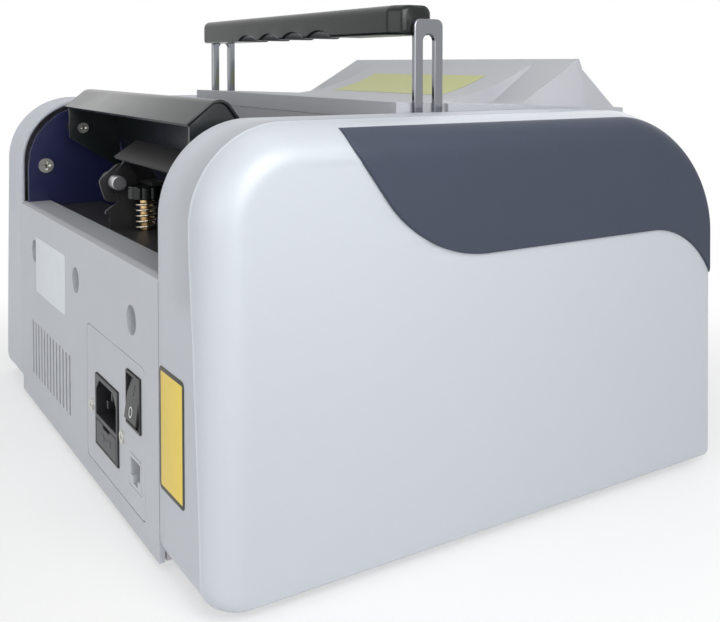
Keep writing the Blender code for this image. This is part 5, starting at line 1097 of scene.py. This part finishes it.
def make_plates():
    """Three bare plates: yellow with a border line, white, and greenish."""
    middle_x, middle_z = YELLOW_CENTRE
    half_x, half_z = YELLOW_HALF
    outline = rounded([(middle_x + sx * half_x, middle_z + sz * half_z, 2.2 * MM)
                       for sx, sz in ((-1, -1), (1, -1), (1, 1), (-1, 1))], 6)
    mesh = plate([outline], REAR_Y + PLATE_GAP, REAR_Y + 0.22 * MM, "Y", PLATE_EDGE, 1)
    piece("yellow_plate", mesh, "machine", YELLOW_PLATE)
    outline = rounded([(20 * MM, 70.7 * MM, MM), (85.7 * MM, 70.7 * MM, MM), (85.7 * MM, 102.5 * MM, MM),
                       (20 * MM, 102.5 * MM, MM)], 4)
    mesh = plate([outline], REAR_Y + PLATE_GAP, REAR_Y + 0.2 * MM, "Y", PLATE_EDGE, 1)
    piece("white_plate", mesh, "machine", WHITE_PLATE)
    bm = bmesh.new()
    rows = []
    for j in range(13):
        y = -48 * MM - 32 * MM * j / 12
        z = max(ramp_z(y), deck_z(y)) + 0.12 * MM
        rows.append([bm.verts.new((x * MM, y, z)) for x in (-60, -30, 0, 30, 60)])
    for first, second in zip(rows, rows[1:]):
        for i in range(4):
            bm.faces.new((first[i], second[i], second[i + 1], first[i + 1]))
    sheet = holder(mesh_of(bm))
    thick = sheet.modifiers.new("thick", "SOLIDIFY")
    thick.thickness = 0.15 * MM
    thick.offset = 0
    piece("lime_plate", evaluated(sheet), "machine", LIME_PLATE)


SLOT_LONG = 1.25
SLOT_WIDE = 0.26
SLOT_LIFT = 0.55


def screw_tree(radius, height):
    """Geometry Nodes that stand a cross-head screw on every point, turned to the point's normal."""
    tree = bpy.data.node_groups.new("screws", "GeometryNodeTree")
    tree.interface.new_socket("Geometry", in_out="INPUT", socket_type="NodeSocketGeometry")
    tree.interface.new_socket("Geometry", in_out="OUTPUT", socket_type="NodeSocketGeometry")
    sizes = {}
    for label, value in (("Radius", radius), ("Height", height)):
        socket = tree.interface.new_socket(label, in_out="INPUT", socket_type="NodeSocketFloat")
        socket.default_value = value
        sizes[label] = socket

    def add(kind, settings, sockets):
        node = tree.nodes.new(kind)
        for setting, value in settings.items():
            setattr(node, setting, value)
        for key, value in sockets.items():
            if isinstance(value, bpy.types.NodeSocket):
                tree.links.new(value, node.inputs[key])
            else:
                node.inputs[key].default_value = value
        return node.outputs[0] if node.outputs else node

    def times(socket, factor):
        return add("ShaderNodeMath", {"operation": "MULTIPLY"}, {0: socket, 1: factor})

    start = tree.nodes.new("NodeGroupInput")
    size, tall = start.outputs["Radius"], start.outputs["Height"]
    head = add("GeometryNodeMeshCylinder", {}, {"Vertices": 24, "Radius": size, "Depth": tall})
    cross = tree.nodes.new("GeometryNodeMeshBoolean")
    cross.operation = "DIFFERENCE"
    tree.links.new(head, cross.inputs["Mesh 1"])
    for across in (0, 1):
        shape = add("ShaderNodeCombineXYZ", {},
                    {across: times(size, SLOT_LONG), 1 - across: times(size, SLOT_WIDE), 2: tall})
        bar = add("GeometryNodeMeshCube", {}, {"Size": shape})
        lift = add("ShaderNodeCombineXYZ", {}, {2: times(tall, SLOT_LIFT)})
        raised = add("GeometryNodeTransform", {}, {"Geometry": bar, "Translation": lift})
        tree.links.new(raised, cross.inputs["Mesh 2"])
    facing = add("GeometryNodeInputNamedAttribute", {"data_type": "FLOAT_VECTOR"}, {"Name": "facing"})
    turn = add("FunctionNodeAlignRotationToVector", {"axis": "Z"}, {"Vector": facing})
    placed = add("GeometryNodeInstanceOnPoints", {}, {"Points": start.outputs["Geometry"],
                                                      "Instance": cross.outputs["Mesh"], "Rotation": turn})
    real = add("GeometryNodeRealizeInstances", {}, {"Geometry": placed})
    coated = add("GeometryNodeSetMaterial", {}, {"Geometry": real, "Material": ZINC})
    add("NodeGroupOutput", {}, {"Geometry": coated})
    return tree, sizes


def screws(name, places, radius, height):
    """Cross-head screws at (point, facing) places, as one plain mesh."""
    mesh = bpy.data.meshes.new(name)
    mesh.from_pydata([p for p, _ in places], [], [])
    attribute = mesh.attributes.new("facing", "FLOAT_VECTOR", "POINT")
    for i, (_, facing) in enumerate(places):
        attribute.data[i].vector = facing
    item = holder(mesh)
    tree, sizes = screw_tree(radius, height)
    modifier = item.modifiers.new("screws", "NODES")
    modifier.node_group = tree
    modifier[sizes["Radius"].identifier] = radius
    modifier[sizes["Height"].identifier] = height
    piece(name, evaluated(item), "machine", ZINC, (), 30)


INLET_SCREW_XS = (-29.4 * MM, -76.6 * MM)
INLET_SCREW_Z = 39 * MM
WELL_PITCH = 89.5 * MM
WELL_Z = 93.4 * MM


def make_screws():
    """Screws of the inlet, the frames, the hood and the covers."""
    back = REAR_Y + 0.3 * MM
    places = [((x, back, INLET_SCREW_Z), (0, 1, 0)) for x in INLET_SCREW_XS]
    screws("inlet_screws", places, 2.7 * MM, 1.2 * MM)
    deep = REAR_Y - 10.6 * MM
    wells = [((x * WELL_PITCH, deep, WELL_Z), (0, 1, 0)) for x in (-1, 0, 1)]
    screws("well_screws", wells, 3.4 * MM, 1.6 * MM)
    inner = 116.4 * MM
    places = [((side * inner, 121 * MM, 140 * MM), (-side, 0, 0)) for side in (-1, 1)]
    screws("frame_screws", places, 4.4 * MM, 1.6 * MM)
    places = [((side * 97.9 * MM, *HOOD_SCREW), (-side, 0, 0)) for side in (-1, 1)]
    screws("hood_screws", places, 3.2 * MM, 1.4 * MM)


FUSE_X = -53.6 * MM


def make_switch_marks():
    """The on and off marks of the rocker, and a fuse sign on the drawer."""
    pivot_z = 59.35 * MM
    middle_x = -92.6 * MM
    top = Vector((REAR_Y - 0.9 * MM, pivot_z + 9.2 * MM))
    crown = Vector((REAR_Y + 0.9 * MM, pivot_z))
    foot = Vector((REAR_Y + 2 * MM, pivot_z - 8.65 * MM))
    for a, b, sign in ((top, crown, "on"), (crown, foot, "off")):
        along = (a - b).normalized()
        out = Vector((along.y, -along.x))
        if out.x < 0:
            out = -out
        centre = (a + b) / 2 + out * 0.05 * MM
        frame_matrix = Matrix(((1, 0, 0, middle_x), (0, along.x, out.x, centre.x),
                               (0, along.y, out.y, centre.y), (0, 0, 0, 1)))
        if sign == "on":
            mesh = box((-0.35 * MM, -2.2 * MM, 0), (0.35 * MM, 2.2 * MM, 0.08 * MM))
        else:
            ring = [arc((0, 0), 2.1 * MM, 0, 360, 32)[:-1], arc((0, 0), 1.5 * MM, 0, 360, 32)[:-1]]
            mesh = plate([[(x, y * 1.15) for x, y in loop] for loop in ring], 0, 0.08 * MM, "Z")
        mesh.transform(frame_matrix)
        piece(f"rocker_mark_{sign}", mesh, "rocker", MARK_GREY if sign == "on" else MARK_WHITE)
    face = REAR_Y + 0.82 * MM
    z = 29.6 * MM
    shapes = []
    for side in (-1, 1):
        x = FUSE_X + side * 4.6 * MM
        shapes.append(box((x - 1.4 * MM, face, z - 1.6 * MM), (x + 1.4 * MM, face + 0.12 * MM, z + 1.6 * MM)))
    shapes.append(box((FUSE_X - 7.5 * MM, face, z - 0.2 * MM),
                      (FUSE_X + 7.5 * MM, face + 0.1 * MM, z + 0.2 * MM)))
    piece("fuse_sign", joined(*shapes), "fuse_holder", MARK_GREY)


def sill_shade_paint(face):
    """Second finish on the level top of the sill: a darker grey painted there as shade."""
    return 1 if face.normal.z > 0.5 and face.calc_center_median().z > 117 * MM else 0


def make_dressed():
    """Model nodes whose shape is right, with rounded edges and finishes."""
    machine = {
        "base_plate": (STEEL, 0.2), "foot_front_left": (RUBBER, 0), "foot_front_right": (RUBBER, 0),
        "foot_rear_left": (RUBBER, 0), "foot_rear_right": (RUBBER, 0), "frame_left": (NAVY, 0.25),
        "frame_right": (NAVY, 0.25), "connector_panel": (REAR_GREY, 0.25), "power_inlet": (INLET_BLACK, 0.3),
        "switch_bezel": (INLET_BLACK, 0.25), "data_jack": (REAR_GREY, 0.2), "hopper_bed": (BLACK, 0.25),
        "mechanism_shelf": (BLACK, 0.25), "feed_guide": (STEEL, 0.2), "stacker_tray": (SILVER, 0.4),
        "transformer": (STEEL, 0.4), "control_board": (BOARD, 0.1), "drive_belt": (RUBBER, 0.1),
        "pick_up_belt": (RUBBER, 0.1), "drive_motor": (STEEL, 0.5), "retard_pin": (STEEL, 0.3)}
    for node, (finish, edge) in machine.items():
        dress(node, finish, "machine", edge * MM)
    # The sill's level top takes the darker sill grey as painted shade.
    dress("rear_cover", [REAR_GREY, SILL_SHADE_GREY], "machine", 0.35 * MM, paint=sill_shade_paint)
    moving = {
        "power_rocker": ("rocker", GRIP_BLACK, 0.5), "fuse_drawer": ("fuse_holder", INLET_BLACK, 0.3),
        "hopper_guide_left": ("guide_left", BLACK, 0.3), "hopper_guide_right": ("guide_right", BLACK, 0.3),
        "pick_up_shaft": ("pick_up_roller", STEEL, 0.2), "feed_shaft": ("feed_roller", STEEL, 0.2),
        "counting_shaft": ("counting_roller", STEEL, 0.2), "impeller_shaft": ("impeller", STEEL, 0.2),
        "pick_up_wheel_left": ("pick_up_roller", RUBBER, 0),
        "pick_up_wheel_right": ("pick_up_roller", RUBBER, 0),
        "feed_wheel_left": ("feed_roller", TREAD, 0), "feed_wheel_right": ("feed_roller", TREAD, 0),
        "counting_wheel_left": ("counting_roller", RUBBER, 0),
        "counting_wheel_right": ("counting_roller", RUBBER, 0),
        "impeller_wheel_left": ("impeller", TREAD, 0.2), "impeller_wheel_right": ("impeller", TREAD, 0.2),
        "feed_pulley": ("feed_roller", CREAM, 0), "impeller_pulley": ("impeller", CREAM, 0),
        "motor_pulley": ("motor_rotor", STEEL, 0), "retard_block": ("retard", CREAM, 0.3),
        "retard_bracket": ("retard", BLACK, 0.2)}
    for node, (body, finish, edge) in moving.items():
        dress(node, finish, body, edge * MM)


# Studio: white surroundings for the camera, a soft key from the left cover's side
def white_when_seen(tree, lit, seen_kind, output, share=None):
    """Plain white, or a share of it, for camera, glossy and transmission rays; the lit shader for others."""
    seen = tree.nodes.new(seen_kind)
    seen.inputs["Color"].default_value = (1, 1, 1, 1)
    seen.inputs["Strength"].default_value = 1.0
    path = tree.nodes.new("ShaderNodeLightPath")
    rays = path.outputs["Is Camera Ray"]
    for name in ("Is Glossy Ray", "Is Transmission Ray"):
        most = tree.nodes.new("ShaderNodeMath")
        most.operation = "MAXIMUM"
        tree.links.new(rays, most.inputs[0])
        tree.links.new(path.outputs[name], most.inputs[1])
        rays = most.outputs[0]
    if share:
        both = tree.nodes.new("ShaderNodeMath")
        both.operation = "MULTIPLY"
        tree.links.new(rays, both.inputs[0])
        tree.links.new(share.socket, both.inputs[1])
        rays = both.outputs[0]
    mixed = tree.nodes.new("ShaderNodeMixShader")
    tree.links.new(rays, mixed.inputs[0])
    tree.links.new(lit.outputs[0], mixed.inputs[1])
    tree.links.new(seen.outputs[0], mixed.inputs[2])
    tree.links.new(mixed.outputs[0], output.inputs["Surface"])


SHADOW_NEAR = 0.2
SHADOW_FAR = 0.42
FLOOR_WHITE = 0.5
LAMP_TARGET = Vector((0, 0, 0.1))
LAMPS = [("key", (-1.5, 0.35, 0.75), 9, 1.3), ("back", (-0.5, 1.7, 0.6), 7, 1.2),
         ("top", (0.4, 0.2, 1.9), 5, 1.4), ("front", (0.9, -1.6, 1.0), 7, 1.3),
         ("near", (-0.41, 0.11, 0.34), 0.62, 0.22)]


def make_studio():
    """Floor, world and lamps."""
    scene = bpy.context.scene
    scene.view_settings.view_transform = "Standard"
    world = bpy.data.worlds.new("studio")
    scene.world = world
    world.use_nodes = True
    tree = world.node_tree
    lit = tree.nodes["Background"]
    lit.inputs["Color"].default_value = (0.96, 0.98, 1, 1)
    lit.inputs["Strength"].default_value = 0.33
    white_when_seen(tree, lit, "ShaderNodeBackground", tree.nodes["World Output"])
    bm = bmesh.new()
    bmesh.ops.create_grid(bm, x_segments=1, y_segments=1, size=4)
    mesh = bpy.data.meshes.new("floor")
    bm.to_mesh(mesh)
    bm.free()
    floor = holder(mesh)
    floor.name = "floor"
    finish = Finish("pale_floor", 0.9)
    finish.colour(finish.mottled((0.94, 0.94, 0.94), 0.005, 0.4))
    away = (finish.x * finish.x + finish.y * finish.y) ** 0.5
    white_when_seen(finish.tree, finish.shader, "ShaderNodeEmission", finish.tree.nodes["Material Output"],
                    away.step(SHADOW_NEAR, SHADOW_FAR) * (1 - FLOOR_WHITE) + FLOOR_WHITE)
    mesh.materials.append(finish.material)
    for name, place, power, size in LAMPS:
        data = bpy.data.lights.new(name, "AREA")
        data.energy = power
        data.size = size
        lamp = bpy.data.objects.new(name, data)
        scene.collection.objects.link(lamp)
        lamp.location = place
        lamp.rotation_euler = (LAMP_TARGET - Vector(place)).to_track_quat("-Z", "Y").to_euler()


lower_edge, upper_edge = wave_lines()
make_side_covers(lower_edge)
make_inserts(lower_edge, upper_edge)
make_lid()
make_display()
make_hood()
make_handle()
make_adjusting_gear()
make_plates()
make_screws()
make_switch_marks()
make_dressed()
make_studio()
